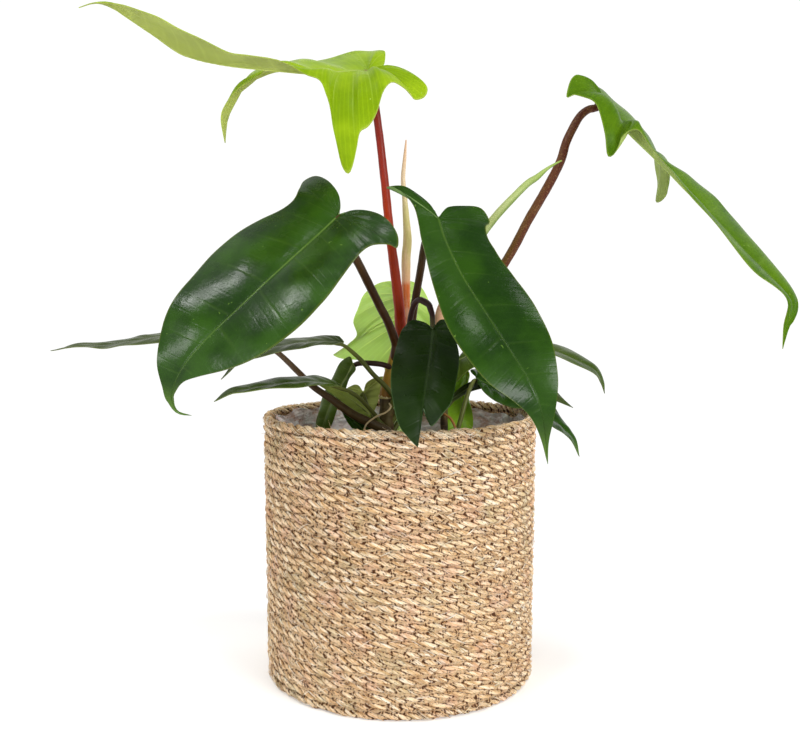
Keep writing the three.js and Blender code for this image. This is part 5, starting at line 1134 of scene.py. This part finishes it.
class Shader:
    """A Principled material that is built node by node."""

    def __init__(self, name):
        self.material = bpy.data.materials.new(name)
        self.material.use_nodes = True
        self.tree = self.material.node_tree
        self.bsdf = self.tree.nodes["Principled BSDF"]

    def node(self, kind, **settings):
        made = self.tree.nodes.new(kind)
        for key, value in settings.items():
            setattr(made, key, value)
        return made

    def join(self, source, target):
        self.tree.links.new(source, target)

    def feed(self, target, source):
        """Join a socket to the target, or set a plain value on it."""
        if isinstance(source, bpy.types.NodeSocket):
            self.join(source, target)
        else:
            target.default_value = source

    def set(self, key, source):
        self.feed(self.bsdf.inputs[key], source)

    def value(self, name):
        return self.node("ShaderNodeAttribute", attribute_name=name).outputs["Fac"]

    def vector(self, name):
        return self.node("ShaderNodeAttribute", attribute_name=name).outputs["Vector"]

    def split(self, vector):
        made = self.node("ShaderNodeSeparateXYZ")
        self.join(vector, made.inputs[0])
        return made.outputs

    def math(self, operation, *sources):
        made = self.node("ShaderNodeMath", operation=operation)
        for n, source in enumerate(sources):
            self.feed(made.inputs[n], source)
        return made.outputs[0]

    def total(self, *rows):
        """Sum of values, each times its weight, as (value, weight)."""
        out = 0.0
        for value, weight in rows:
            out = self.math("MULTIPLY_ADD", value, weight, out)
        return out

    def spread(self, source, low, high, out_low=0.0, out_high=1.0):
        return map_range(self.tree, source, (low, high, out_low, out_high), "SMOOTHSTEP")

    def mix(self, share, a, b):
        made = self.node("ShaderNodeMix", data_type="RGBA")
        self.feed(made.inputs[0], share)
        for target, colour in ((made.inputs[6], a), (made.inputs[7], b)):
            self.feed(target, (*colour, 1.0) if isinstance(colour, tuple) else colour)
        return made.outputs[2]

    def layers(self, base, *rows):
        """Colours laid over a base one after the other, as (share, strength, colour)."""
        for share, strength, colour in rows:
            base = self.mix(self.math("MULTIPLY", share, strength), base, colour)
        return base

    def ramp(self, source, *stops):
        made = self.node("ShaderNodeValToRGB")
        elements = made.color_ramp.elements
        while len(elements) < len(stops):
            elements.new(0.5)
        for element, (place, colour) in zip(elements, stops):
            element.position = place
            element.color = (*colour, 1.0)
        self.join(source, made.inputs[0])
        return made.outputs[0]

    def place(self):
        return self.node("ShaderNodeTexCoord").outputs["Object"]

    def coordinates(self, scale, source=None):
        mapping = self.node("ShaderNodeMapping")
        self.join(source or self.place(), mapping.inputs[0])
        mapping.inputs[3].default_value = scale
        return mapping.outputs[0]

    def noise(self, scale, detail=3.0, vector=None, roughness=0.5):
        made = self.node("ShaderNodeTexNoise")
        made.inputs["Scale"].default_value = scale
        made.inputs["Detail"].default_value = detail
        made.inputs["Roughness"].default_value = roughness
        self.join(vector or self.place(), made.inputs["Vector"])
        return made.outputs[0]

    def bump(self, height, strength, distance):
        made = self.node("ShaderNodeBump")
        made.inputs["Strength"].default_value = strength
        made.inputs["Distance"].default_value = distance
        self.join(height, made.inputs["Height"])
        self.join(made.outputs[0], self.bsdf.inputs["Normal"])


def lighter(colour, factor):
    return tuple(min(1.0, c * factor) for c in colour)


# Materials

def leaf_material(name, look, veins):
    """Waxy leaf: mottled upper side with faint veins, a fading midrib, a thin rim, and a dull underside."""
    s = Shader(name)
    upper, deep, vein, lower, rim = (look[key] for key in ("upper", "deep", "vein", "lower", "rim"))
    along = s.value("along")
    across = s.value("across")
    under = s.value("under")
    reach = s.value("reach")

    def near_vein(count):
        """Closeness to the nearest vein, from 0 between two veins to 0.5 on one."""
        turn = s.math("FRACT", s.math("MULTIPLY", along, float(count)))
        return s.math("ABSOLUTE", s.math("SUBTRACT", turn, 0.5))

    wobble = s.math("MULTIPLY", s.math("SUBTRACT", s.noise(160.0, 2.0), 0.5), VEIN_WOBBLE)
    main = s.spread(s.math("ADD", near_vein(veins), wobble), 0.44, 0.5)
    main = s.math("MULTIPLY", main, s.spread(reach, 1.0, 0.3))
    wide = s.math("MULTIPLY_ADD", along, 0.7, across)
    middle = s.math("MULTIPLY", s.spread(wide, 1.25, 0.6), s.spread(along, 0.95, 0.05, 0.25, 1.0))
    fine = s.spread(near_vein(veins * FINE_VEINS), 0.3, 0.5)
    cloud = s.noise(34.0, 4.0)
    grain = s.noise(520.0, 3.0)
    dust = s.spread(s.noise(480.0, 0.0), 0.84, 0.87)
    top = s.layers(
        s.mix(s.spread(cloud, 0.35, 0.65), deep, upper),
        (s.spread(grain, 0.45, 0.7), 0.06, lighter(upper, 1.5)),
        (fine, look["fine"], lighter(upper, 1.6)),
        (main, look["veins"], vein),
        (middle, look["midrib"], vein),
        (s.spread(reach, 0.965, 0.995), 0.6, rim),
        (s.spread(along, 0.86, 1.0), look["tip"], vein),
        (dust, 0.45, lighter(vein, 1.3)),
    )
    low = s.layers(
        s.mix(s.spread(cloud, 0.32, 0.68), lighter(lower, 0.8), lower),
        (fine, 0.14, lighter(lower, 1.3)),
        (main, look["back_veins"], lighter(lower, 1.6)),
        (middle, 0.8, lighter(lower, 1.5)),
    )
    s.set("Base Color", s.mix(under, top, low))
    rough = s.spread(s.noise(70.0, 3.0), 0.3, 0.7, look["gloss"], look["gloss"] + 0.1)
    s.set("Roughness", s.math("MULTIPLY_ADD", under, 0.2, rough))
    relief = s.total((main, -0.2), (middle, -0.8), (fine, -0.09), (grain, 0.06), (s.noise(130.0, 3.0), 0.8))
    inverted = s.math("MULTIPLY_ADD", under, -1.6, 1.0)
    s.bump(s.math("MULTIPLY", relief, inverted), 0.4, 0.0006)
    s.set("Specular IOR Level", look["shine"])
    if look["thin"] > 0:
        s.set("Subsurface Weight", look["thin"])
        s.set("Subsurface Radius", (1.0, 1.0, 0.4))
        s.set("Subsurface Scale", 0.0015)
    return s.material


def stalk_material(name, look):
    """Smooth stalk coloured along its length, darker on one flank in partly painted shade, with lengthwise
    streaks and specks.
    """
    s = Shader(name)
    fibre = s.vector("fibre")
    streak = look["streak"]
    lines = s.noise(1.0, 3.0, s.coordinates((2.6, 2.6, 0.05), fibre))
    speck = s.noise(900.0, 1.0)
    base = s.layers(
        s.ramp(s.value("along"), *look["stops"]),
        # One flank darker, partly two-tone colour and partly painted shade.
        (s.spread(s.split(fibre)["X"], -0.3, 0.8), look["flank_tone_and_shade_share"], look["flank_tone_and_shade"]),
        (s.spread(lines, 0.48, 0.7), look["streaks"], streak),
        (s.spread(s.noise(90.0, 3.0), 0.5, 0.68), look["streaks"], streak),
        (s.spread(speck, 0.56, 0.68), look["specks"], lighter(streak, 1.6)),
    )
    s.set("Base Color", base)
    s.set("Roughness", s.spread(s.noise(120.0, 2.0), 0.3, 0.7, 0.3, 0.45))
    s.set("Specular IOR Level", 0.15)
    s.bump(s.math("MULTIPLY_ADD", speck, 0.1, lines), 0.25, 0.0003)
    return s.material


def bark_material():
    """Brown-green bark with faint rings, lengthwise lines and darker patches."""
    s = Shader("stem_bark")
    rings = s.noise(1.0, 3.0, s.coordinates((90, 90, 520)))
    lines = s.noise(1.0, 3.0, s.coordinates((700, 700, 50)))
    patches = s.noise(90.0, 4.0)
    base = s.layers(
        s.ramp(s.spread(patches, 0.32, 0.68), *BARK_STOPS),
        (s.spread(rings, 0.55, 0.7), 0.35, (0.15, 0.1, 0.035)),
        (s.spread(lines, 0.55, 0.7), 0.4, (0.05, 0.025, 0.012)),
    )
    s.set("Base Color", base)
    s.set("Roughness", 0.6)
    s.set("Specular IOR Level", 0.3)
    s.bump(s.total((rings, 1.0), (patches, 1.0), (lines, 1.0)), 0.6, 0.0008)
    return s.material


def seagrass_material():
    """Dry seagrass: fibres along each straw, mixed straw tones, pale fibres partly painted highlight, and
    painted shade in the gaps between strands, between the rows and in small pits.
    """
    s = Shader("seagrass")
    fibre = s.vector("fibre")
    depth = s.value("depth")
    streak = s.noise(1.0, 4.0, s.coordinates((5.0, 5.0, 0.45), fibre), 0.65)
    fine = s.noise(1.0, 3.0, s.coordinates((13.0, 13.0, 1.3), fibre), 0.6)
    patch = s.noise(60.0, 4.0)
    shaded_pits = s.noise(1.0, 2.0, s.coordinates((4.2, 4.2, 1.5), fibre))
    shade = s.total((s.value("tone"), 0.45), (streak, 0.55))
    # Painted shade: small dark spots between the rows, standing in for shaded gaps.
    x, y, z = s.split(s.place())
    wander = s.math("MULTIPLY", s.noise(240.0, 3.0), SHADED_HOLE_WANDER)
    wave = s.math("SINE", s.math("MULTIPLY_ADD", s.math("ARCTAN2", y, x), SHADED_HOLES_ROUND, wander))
    shaded_holes = s.math("MULTIPLY", s.spread(depth, 0.74, 0.58), s.spread(wave, -0.4, 0.3))
    base = s.layers(
        s.ramp(s.spread(shade, 0.2, 0.8), *STRAW_STOPS),
        (s.spread(patch, 0.52, 0.66), 0.4, (0.82, 0.46, 0.32)),
        (s.spread(patch, 0.44, 0.32), 0.35, (0.5, 0.44, 0.22)),
        # Pale fibre streaks, partly the straws' own tone and partly painted highlight.
        (s.spread(fine, 0.58, 0.66), 0.6, (0.98, 0.9, 0.74)),
        (s.spread(fine, 0.4, 0.32), 0.6, (0.3, 0.12, 0.04)),
        # Painted shade: darker towards the top and bottom of each rope, between the rows.
        (s.spread(depth, 0.8, 0.5), 0.35, (0.35, 0.16, 0.06)),
        # Painted shade of the spots between the rows.
        (shaded_holes, 0.97, (0.07, 0.02, 0.004)),
        # Painted shade: small dark pits along the fibres.
        (s.spread(shaded_pits, 0.6, 0.64), 0.85, (0.14, 0.045, 0.01)),
        # Painted shade in the creases between strands.
        (s.spread(s.value("crease"), 0.38, 0.0), 0.97, (0.09, 0.027, 0.006)),
    )
    s.set("Base Color", base)
    s.set("Roughness", 0.75)
    s.set("Specular IOR Level", 0.25)
    s.bump(s.total((streak, 1.2), (fine, 1.0), (shaded_pits, 1.0)), 0.8, 0.0006)
    return s.material


def soil_material():
    s = Shader("potting_soil")
    crumb = s.noise(260.0, 5.0)
    s.set("Base Color", s.ramp(s.spread(crumb, 0.3, 0.72), *SOIL_STOPS))
    s.set("Roughness", 0.95)
    s.bump(crumb, 0.8, 0.002)
    return s.material


def film_material():
    """Thin crinkled clear film, painted darker and lighter in patches as shade and light on its crinkles,
    with painted white glints.
    """
    s = Shader("clear_film")
    crinkle = s.noise(70.0, 4.0, s.coordinates((1, 1, 2.2)), 0.7)
    # Painted highlight: white glints on the film, also used as bump.
    glint_highlight_and_bump = s.noise(160.0, 3.0, s.coordinates((1, 1, 1.6)))
    # Painted shade and light in patches on the crinkles, brownish where dark.
    base = s.ramp(s.spread(crinkle, 0.3, 0.7), *FILM_STOPS)
    # Painted highlight: white glints.
    s.set("Base Color", s.layers(base, (s.spread(glint_highlight_and_bump, 0.54, 0.62), 0.9, (1.0, 1.0, 1.0))))
    s.set("Roughness", 0.2)
    s.set("Alpha", 0.6)
    s.bump(s.math("ADD", crinkle, glint_highlight_and_bump), 1.0, 0.003)
    return s.material


def pot_material():
    s = Shader("black_pot")
    grain = s.noise(500.0, 2.0)
    s.set("Base Color", s.ramp(grain, *POT_STOPS))
    s.set("Roughness", 0.5)
    s.bump(grain, 0.15, 0.0003)
    return s.material


def floor_material():
    s = Shader("floor")
    s.set("Base Color", s.ramp(s.noise(3.0, 2.0), *FLOOR_STOPS))
    s.set("Roughness", 0.8)
    s.set("Emission Color", (1, 1, 1, 1))
    s.set("Emission Strength", FLOOR_GLOW)
    return s.material


# Basket

def strand_radius(angle, strand, centre):
    """Outer radius of a rope of round strands, at an angle from the nearest strand's middle."""
    return centre * math.cos(angle) + math.sqrt(max(strand**2 - (centre * math.sin(angle)) ** 2, 0))


def rope_profile(size):
    """Angles, radii and crowns round a twisted rope, three straws to a strand, with its crease first. The
    crowns set the painted shade in the creases.
    """
    out = []
    for n in range(STRANDS):
        for degrees, fullness, crown in STRAND_SECTION:
            offset = math.radians(degrees)
            radius = strand_radius(offset, STRAND_RADIUS * size, STRAND_CENTRE * size)
            out.append((2 * math.pi * n / STRANDS + offset, radius * fullness, crown))
    return np.array(out).T


def row_height(row):
    return (row + 0.5) * BASKET_HEIGHT / ROPE_ROWS


def row_radius(row):
    share = row_height(row) / BASKET_HEIGHT
    return BASKET_BASE_RADIUS + (BASKET_TOP_RADIUS - BASKET_BASE_RADIUS) * share


def uneven(rng, columns, spacing):
    """Smooth random values from -1 to 1 round a row, with a new value every so many steps."""
    knots = max(4, int(ROPE_STEPS / spacing))
    values = rng.uniform(-1, 1, (knots, columns))
    x = np.arange(ROPE_STEPS) * knots / ROPE_STEPS
    low = x.astype(int)
    share = (x - low)[:, None]
    share = share * share * (3 - 2 * share)
    return values[low] * (1 - share) + values[(low + 1) % knots] * share


def straw_tones(rng, columns):
    """A tone for each straw that changes where one straw ends and the next starts."""
    lengths = rng.uniform(4, 15, columns)
    starts = rng.uniform(0, 40, columns)
    pieces = ((np.arange(ROPE_STEPS)[:, None] + starts) / lengths).astype(int)
    table = rng.beta(2.2, 2.2, (columns, pieces.max() + 1))
    return table[np.arange(columns), pieces]


def rope_row(row):
    """One row of twisted rope, closed on itself behind the basket."""
    rng = np.random.default_rng(ROPE_SEED + row)
    rim = row == ROPE_ROWS - 1
    size = ROPE_RADIUS * (RIM_ROPE_FACTOR if rim else rng.uniform(*ROPE_FACTORS))
    angle, radius, crown = rope_profile(size)
    sides = len(angle)
    ring_radius = row_radius(row) - size
    turned = 2 * math.pi * np.arange(ROPE_STEPS) / ROPE_STEPS
    turns = round(2 * math.pi * ring_radius / (ROPE_PITCH * rng.uniform(*PITCH_FACTORS)) * STRANDS)
    twist = rng.uniform(0, 6) - turned * turns / STRANDS + TWIST_WOBBLE * uneven(rng, 1, TWIST_STEPS)[:, 0]
    lump, spacing = STRAND_LUMPS
    swell = 1 + lump * np.repeat(uneven(rng, STRANDS, spacing), sides // STRANDS, 1)
    for lump, spacing in STRAW_LUMPS:
        swell = swell + lump * uneven(rng, sides, spacing)
    sway = uneven(rng, 2, SWAY_STEPS)
    r = radius * swell
    turn = angle + twist[:, None]
    reach = ring_radius + SWAY_OUT * sway[:, :1] + r * np.cos(turn)
    height = row_height(row) + SWAY_UP * sway[:, 1:] + r * np.sin(turn)
    around = math.pi / 2 + turned[:, None]
    points = np.stack([np.cos(around) * reach, np.sin(around) * reach, np.maximum(height, 0)], -1)
    # Depth is low at the top and bottom of the rope, next to the rows above and below, where the material
    # paints shade.
    depth = np.abs(reach - ring_radius) / size
    if rim:
        depth = np.maximum(depth, (height - row_height(row)) / size)
    run = np.repeat(turned[:, None] * ring_radius / FIBRE_RUN + row * ROW_SHIFT, sides, 1)
    ring = np.broadcast_to(np.cos(angle), run.shape), np.broadcast_to(np.sin(angle), run.shape)
    values = {
        # The crowns set the painted shade in the creases between strands.
        "crease": np.tile(crown, ROPE_STEPS),
        "tone": straw_tones(rng, sides).ravel(),
        "depth": depth.ravel(),
        "fibre": np.stack([*ring, run], -1).reshape(-1, 3),
    }
    n, k = np.meshgrid(np.arange(ROPE_STEPS), np.arange(sides), indexing="ij")
    shift = np.where(n == ROPE_STEPS - 1, -turns * sides // STRANDS, 0)
    ahead = (n + 1) % ROPE_STEPS
    a, b = n * sides + k, n * sides + (k + 1) % sides
    c, d = ahead * sides + (k + 1 + shift) % sides, ahead * sides + (k + shift) % sides
    return points.reshape(-1, 3), np.stack([b, a, d, c], -1).reshape(-1, 4), values


def rope_rows(first, last):
    """Several rows of rope as one mesh."""
    rows = [rope_row(row) for row in range(first, last)]
    points = np.concatenate([row[0] for row in rows])
    faces = np.concatenate([row[1] + n * len(row[0]) for n, row in enumerate(rows)])
    return points, faces, {key: np.concatenate([row[2][key] for row in rows]) for key in rows[0][2]}


def plain_values(count, tone, fibre):
    """Material values of pieces that lie outside the ropes, with no painted shade of a crease or hollow."""
    return {"crease": np.ones(count), "depth": np.ones(count), "tone": tone, "fibre": np.array(fibre)}


def straw_strips():
    """Flat straws that lie on the ropes, most of them along the twist and some across it."""
    rng = random.Random(STRAW_SEED)
    points, faces, tone, fibre = [], [], [], []
    for number in range(STRAW_COUNT):
        row = ROPE_ROWS - 1 if rng.random() < RIM_STRAWS else rng.randrange(ROPE_ROWS)
        ring_radius = row_radius(row) - ROPE_RADIUS
        around = rng.uniform(0, 2 * math.pi)
        length = rng.uniform(*STRAW_LENGTHS)
        width = rng.uniform(*STRAW_WIDTHS)
        lean = rng.uniform(*(STRAW_ALONG if rng.random() < ALONG_STRAWS else STRAW_ACROSS))
        slope = 2 * math.pi / ROPE_PITCH * lean
        middle = rng.uniform(*STRAW_ANGLES)
        lift = rng.uniform(*STRAW_LIFTS)
        ends = [rng.uniform(*LOOSE_RISE) if rng.random() < LOOSE_ENDS else 0 for _ in range(2)]
        shade = rng.betavariate(3, 1.6) if rng.random() < PALE_STRAWS else rng.uniform(0, 0.3)
        faces += tube_faces(len(points), STRAW_STEPS, 4, turned=True)
        for n in range(STRAW_STEPS + 1):
            share = n / STRAW_STEPS
            place = (share - 0.5) * length
            turn = around + place / ring_radius
            narrow = width * math.sin(math.pi * (0.08 + 0.84 * share)) ** 0.5
            rise = lift + 2 * ends[0] * max(0, LOOSE_SHARE - share)
            rise += 2 * ends[1] * max(0, LOOSE_SHARE - (1 - share))
            for side, up in ((-1, 0), (0, STRAW_HALF_THICKNESS), (1, 0), (0, -STRAW_HALF_THICKNESS)):
                tilt = middle - slope * place + side * narrow / ROPE_RADIUS / 2
                r = ROPE_RADIUS + rise + up
                reach = ring_radius + r * math.cos(tilt)
                height = row_height(row) + r * math.sin(tilt)
                points.append((reach * math.cos(turn), reach * math.sin(turn), max(height, 0.0)))
                tone.append(shade)
                fibre.append((side * 0.4, up, place / FIBRE_RUN + number * STRAW_SHIFT))
    return np.array(points), faces, plain_values(len(points), tone, fibre)


def loose_hairs():
    """Thin fibres that stand out of the weave, most of them at the rim."""
    rng = random.Random(HAIR_SEED)
    points, faces, tone, fibre = [], [], [], []
    up = Vector((0, 0, 1))
    rim = ROPE_ROWS - 1
    for number in range(HAIR_COUNT):
        near_rim = rng.random() < RIM_HAIRS
        row = rim - int(abs(rng.gauss(0, RIM_HAIR_SPREAD))) if near_rim else rng.randrange(ROPE_ROWS)
        row = max(0, min(rim, row))
        around = rng.uniform(0, 2 * math.pi)
        angle = rng.uniform(-0.6, 1.2) if row < rim else rng.uniform(-0.3, 2.2)
        length = rng.uniform(*HAIR_LENGTHS)
        outward = Vector((math.cos(around), math.sin(around), 0))
        sideways = Vector((-math.sin(around), math.cos(around), 0))
        away = outward * math.cos(angle) + up * math.sin(angle)
        base = outward * (row_radius(row) - ROPE_RADIUS) + up * row_height(row)
        base += away * (ROPE_RADIUS - HAIR_ROOT)
        lean = sideways * rng.choice((-1, 1)) * rng.uniform(0.6, 1.6) + up * rng.uniform(-0.5, 0.5)
        direction = (away * rng.uniform(0.25, 0.7) + lean).normalized()
        bend = Vector((rng.uniform(-1, 1), rng.uniform(-1, 1), rng.uniform(-1, 0.6))) * 0.5
        shade = rng.uniform(0.4, 1)
        faces += tube_faces(len(points), HAIR_STEPS, HAIR_SIDES, turned=True)
        for n in range(HAIR_STEPS + 1):
            share = n / HAIR_STEPS
            centre = base + direction * length * share + bend * (length * share * share * 0.4)
            thick = rng.uniform(*HAIR_THICKNESS) * (1 - 0.7 * share) + 0.02
            for k in range(HAIR_SIDES):
                turn = 2 * math.pi * k / HAIR_SIDES
                p = centre + outward * thick * math.cos(turn) + up * thick * math.sin(turn)
                points.append((p.x, p.y, max(p.z, 0.0)))
                tone.append(shade)
                fibre.append((math.cos(turn), math.sin(turn), share + number * HAIR_SHIFT))
    return np.array(points), faces, plain_values(len(points), tone, fibre)


def ring_points(radius, height, sides):
    """Points round a level circle on the basket's axis."""
    angles = [2 * math.pi * k / sides for k in range(sides)]
    return [(radius * math.cos(angle), radius * math.sin(angle), height) for angle in angles]


def lathe(profile, sides):
    """Closed body turned about the basket's axis, from (radius, height) points that start and end on it."""
    points = [(0, 0, profile[0][1])]
    for radius, height in profile[1:-1]:
        points += ring_points(radius, height, sides)
    last = len(points)
    points.append((0, 0, profile[-1][1]))
    neighbours = [(k, (k + 1) % sides) for k in range(sides)]
    faces = [(0, 1 + m, 1 + k) for k, m in neighbours]
    for start in range(1, last - sides, sides):
        faces += band(start, start + sides, sides)
    faces += [(last - sides + k, last - sides + m, last) for k, m in neighbours]
    return np.array(points), faces


def basket_core():
    """Thin wall inside the ropes, and the basket's floor of flat coiled rope."""
    coil = FLOOR_RADIUS / FLOOR_COILS
    profile = [(0, 0)]
    profile += [((n + share) * coil, height) for n in range(FLOOR_COILS) for share, height in COIL_SECTION]
    profile += WALL_PROFILE + [(WALL_FOOT_RADIUS, BASKET_FLOOR), (0, BASKET_FLOOR)]
    points, faces = lathe(profile, WALL_SIDES)
    x, y, z = points.T
    wide, around = CORE_FIBRE
    values = {
        # Painted shade in the creases between the coils underneath, and a little on the wall.
        "crease": np.where(z < COIL_TOP, 1 - 0.75 * z, CORE_CREASE),
        "depth": np.full(len(points), CORE_DEPTH),
        "tone": np.full(len(points), CORE_TONE),
        "fibre": np.stack([np.hypot(x, y) * wide, z * wide, np.arctan2(y, x) * around], 1),
    }
    return points, faces, values


def build_basket():
    weave = seagrass_material()
    share = ROPE_ROWS // ROPE_PIECES
    parts = [(f"basket_weave_{n + 1}", rope_rows(n * share, (n + 1) * share)) for n in range(ROPE_PIECES)]
    parts.append(("basket_straws", straw_strips()))
    parts.append(("basket_fibres", loose_hairs()))
    parts.append(("basket_wall", basket_core()))
    for name, mesh_data in parts:
        make_piece(name, mesh_data, weave, ["seagrass_basket"], SHARP_ROPE)


# Film, soil and pot

def ripple(waves, angle, share=1):
    """Sum of waves round a ring, as (height, count, shift)."""
    return sum(height * math.sin(count * angle + shift * share) for height, count, shift in waves)


def film_mesh():
    """Crinkled collar of film between the pot and the basket, as an outer and an inner sheet."""
    points = []
    for layer in (0, 1):
        for row in range(FILM_ROWS + 1):
            share = row / FILM_ROWS
            for k in range(FILM_SIDES):
                angle = 2 * math.pi * k / FILM_SIDES
                fold = max(0.0, math.cos(angle - FILM_FOLD_ANGLE)) ** FILM_FOLD_POWER
                top = min(FILM_TOP + ripple(FILM_EDGE, angle), FILM_LIMIT)
                top += (FILM_FOLD_TOP - top) * fold
                height = FILM_BOTTOM + (top - FILM_BOTTOM) * share
                crinkle = ripple(FILM_CRINKLES, angle, share) - FILM_INWARD
                radius = FILM_RADIUS + crinkle * (0.35 + 0.65 * share) - FILM_THICKNESS * layer
                points.append((radius * math.cos(angle), radius * math.sin(angle), height))
    top = FILM_ROWS * FILM_SIDES
    inner = top + FILM_SIDES
    faces = band(0, inner, FILM_SIDES, turned=True) + band(top, top + inner, FILM_SIDES)
    for start in range(0, top, FILM_SIDES):
        faces += band(start, start + FILM_SIDES, FILM_SIDES)
        faces += band(inner + start, inner + start + FILM_SIDES, FILM_SIDES, turned=True)
    return np.array(points), faces, {}


def soil_mesh():
    """Uneven soil with crumbs on top."""
    points = [(0, 0, SOIL_TOP)]
    for ring in range(1, SOIL_RINGS + 1):
        for x, y, z in ring_points(SOIL_RADIUS * ring / SOIL_RINGS, SOIL_TOP, SOIL_SIDES):
            bump = math.sin(x / 7) * math.cos(y / 6) + 0.6 * math.sin(x / 2.6 + y / 3.1)
            points.append((x, y, z + bump))
    low = len(points)
    points += ring_points(SOIL_BASE_RADIUS, SOIL_BASE, SOIL_SIDES)
    neighbours = [(k, (k + 1) % SOIL_SIDES) for k in range(SOIL_SIDES)]
    faces = [(0, 1 + k, 1 + m) for k, m in neighbours]
    for start in range(1, low, SOIL_SIDES):
        after = start + SOIL_SIDES
        faces += [(start + k, after + k, after + m, start + m) for k, m in neighbours]
    faces.append(tuple(low + k for k in reversed(range(SOIL_SIDES))))
    rng = random.Random(CRUMB_SEED)
    for _ in range(CRUMBS):
        angle = rng.uniform(0, 2 * math.pi)
        radius = SOIL_RADIUS * math.sqrt(rng.random()) * CRUMB_EDGE
        size = rng.uniform(*CRUMB_SIZES)
        centre = Vector((radius * math.cos(angle), radius * math.sin(angle), SOIL_TOP + 0.4 * size))
        start = len(points)
        for x, y, z in ((1, 0, 0), (0, 1, 0), (-1, 0, 0), (0, -1, 0), (0, 0, 1), (0, 0, -1)):
            points.append(tuple(centre + Vector((x, y, z * 0.6)) * size * rng.uniform(*CRUMB_CORNERS)))
        for a, b in ((0, 1), (1, 2), (2, 3), (3, 0)):
            faces.append((start + a, start + b, start + 4))
            faces.append((start + b, start + a, start + 5))
    return np.array(points), faces, {}


def build_inside():
    make_piece("crinkled_film", film_mesh(), film_material(), ["liner_film"])
    make_piece("loose_soil", soil_mesh(), soil_material(), ["potting_soil"])
    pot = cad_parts["nursery_pot"]
    pot.data.materials.clear()
    pot.data.materials.append(pot_material())


# Leaves and stalks

def build_leaves():
    for name, leaf in LEAVES.items():
        material = leaf_material(name, {**LEAF_PLAIN, **LEAF_LOOKS[leaf["look"]]}, leaf["veins"])
        piece = "leaf_" + name.removeprefix("blade_")
        make_piece(piece, blade_mesh(leaf), material, [name], SHARP_LEAF)


def build_stalks():
    for number, (name, slot, look, sides, carries, path) in enumerate(STALKS):
        bark = look == "bark"
        material = bark_material() if bark else stalk_material(name, {**STALK_PLAIN, **STALK_LOOKS[look]})
        bumps = BARK_BUMPS if bark else STALK_BUMPS
        mesh_data = tube_mesh(stalk_path(path, carries), sides, bumps, TUBE_SEED + number)
        make_piece("grown_" + name, mesh_data, material, [name], SHARP_STALK)


def torn_collar():
    """Ragged ring of dry leaf base round the top of the main stem."""
    rng = random.Random(COLLAR_SEED)
    points = []
    for k in range(COLLAR_STEPS):
        angle = 2 * math.pi * k / COLLAR_STEPS
        top = COLLAR_HEIGHT + rng.uniform(*COLLAR_TEARS)
        edge = COLLAR_RADIUS + rng.uniform(*COLLAR_FLARES)
        section = (
            (COLLAR_RADIUS - 0.5, COLLAR_HEIGHT - 1.7),
            (COLLAR_RADIUS + 0.1, COLLAR_HEIGHT - 1.5),
            (edge, top),
            (edge - 0.35, top - 0.1),
        )
        for radius, height in section:
            points.append((COLLAR_X + radius * math.cos(angle), radius * math.sin(angle), height))
    faces = []
    for k in range(COLLAR_STEPS):
        here, after = k * 4, (k + 1) % COLLAR_STEPS * 4
        for m in range(4):
            n = (m + 1) % 4
            faces.append((here + m, after + m, after + n, here + n))
    values = {"along": np.tile([0.0, 0.3, 1.0, 0.8], COLLAR_STEPS), "fibre": np.array(points)}
    material = stalk_material("torn_collar", {**STALK_PLAIN, **STALK_LOOKS["collar"]})
    make_piece("torn_collar", (points, faces, values), material, ["main_stem"], SHARP_LEAF)


# Floor, light and camera

def add_light(name, place, aim, size, power):
    data = bpy.data.lights.new(name, "AREA")
    data.shape = "RECTANGLE"
    data.size, data.size_y = size
    data.energy = power
    light = bpy.data.objects.new(name, data)
    light.location = place
    light.rotation_euler = (Vector(aim) - Vector(place)).to_track_quat("-Z", "Y").to_euler()
    bpy.context.scene.collection.objects.link(light)


def studio_world():
    """White surroundings near the horizon, dimmer above the camera and brighter above the plant's back."""
    world = bpy.data.worlds.new("studio")
    world.use_nodes = True
    tree = world.node_tree
    parts = tree.nodes.new("ShaderNodeSeparateXYZ")
    tree.links.new(tree.nodes.new("ShaderNodeTexCoord").outputs["Generated"], parts.inputs[0])
    above = map_range(tree, parts.outputs["Y"], (-0.1, 0.6, FRONT_GLOW, BACK_GLOW))
    rise = map_range(tree, parts.outputs["Z"], (0.42, 0.7, 0.0, 1.0))
    both = tree.nodes.new("ShaderNodeMix")
    tree.links.new(rise, both.inputs[0])
    both.inputs[2].default_value = SIDE_GLOW
    tree.links.new(above, both.inputs[3])
    background = tree.nodes["Background"]
    background.inputs["Color"].default_value = (1, 1, 1, 1)
    tree.links.new(both.outputs[0], background.inputs["Strength"])
    bpy.context.scene.world = world


def build_studio():
    mesh = bpy.data.meshes.new("floor")
    corners = [(x * FLOOR_HALF, y * FLOOR_HALF, 0) for x, y in ((-1, -1), (1, -1), (1, 1), (-1, 1))]
    mesh.from_pydata(corners, [], [(0, 1, 2, 3)])
    mesh.materials.append(floor_material())
    floor = bpy.data.objects.new("floor", mesh)
    bpy.context.scene.collection.objects.link(floor)
    studio_world()
    for light in LIGHTS:
        add_light(*light)
    bpy.context.scene.view_settings.view_transform = "Standard"


def build_camera():
    data = bpy.data.cameras.new("camera")
    data.lens = CAMERA_LENS
    data.sensor_width = CAMERA_SENSOR
    data.sensor_fit = "HORIZONTAL"
    camera = bpy.data.objects.new("camera", data)
    camera.location = (0, -CAMERA_BACK * MM, CAMERA_HEIGHT * MM)
    camera.rotation_euler = (math.radians(90 - CAMERA_PITCH), 0, 0)
    bpy.context.scene.collection.objects.link(camera)
    bpy.context.scene.camera = camera


build_camera()
build_basket()
build_inside()
build_leaves()
build_stalks()
torn_collar()
build_studio()
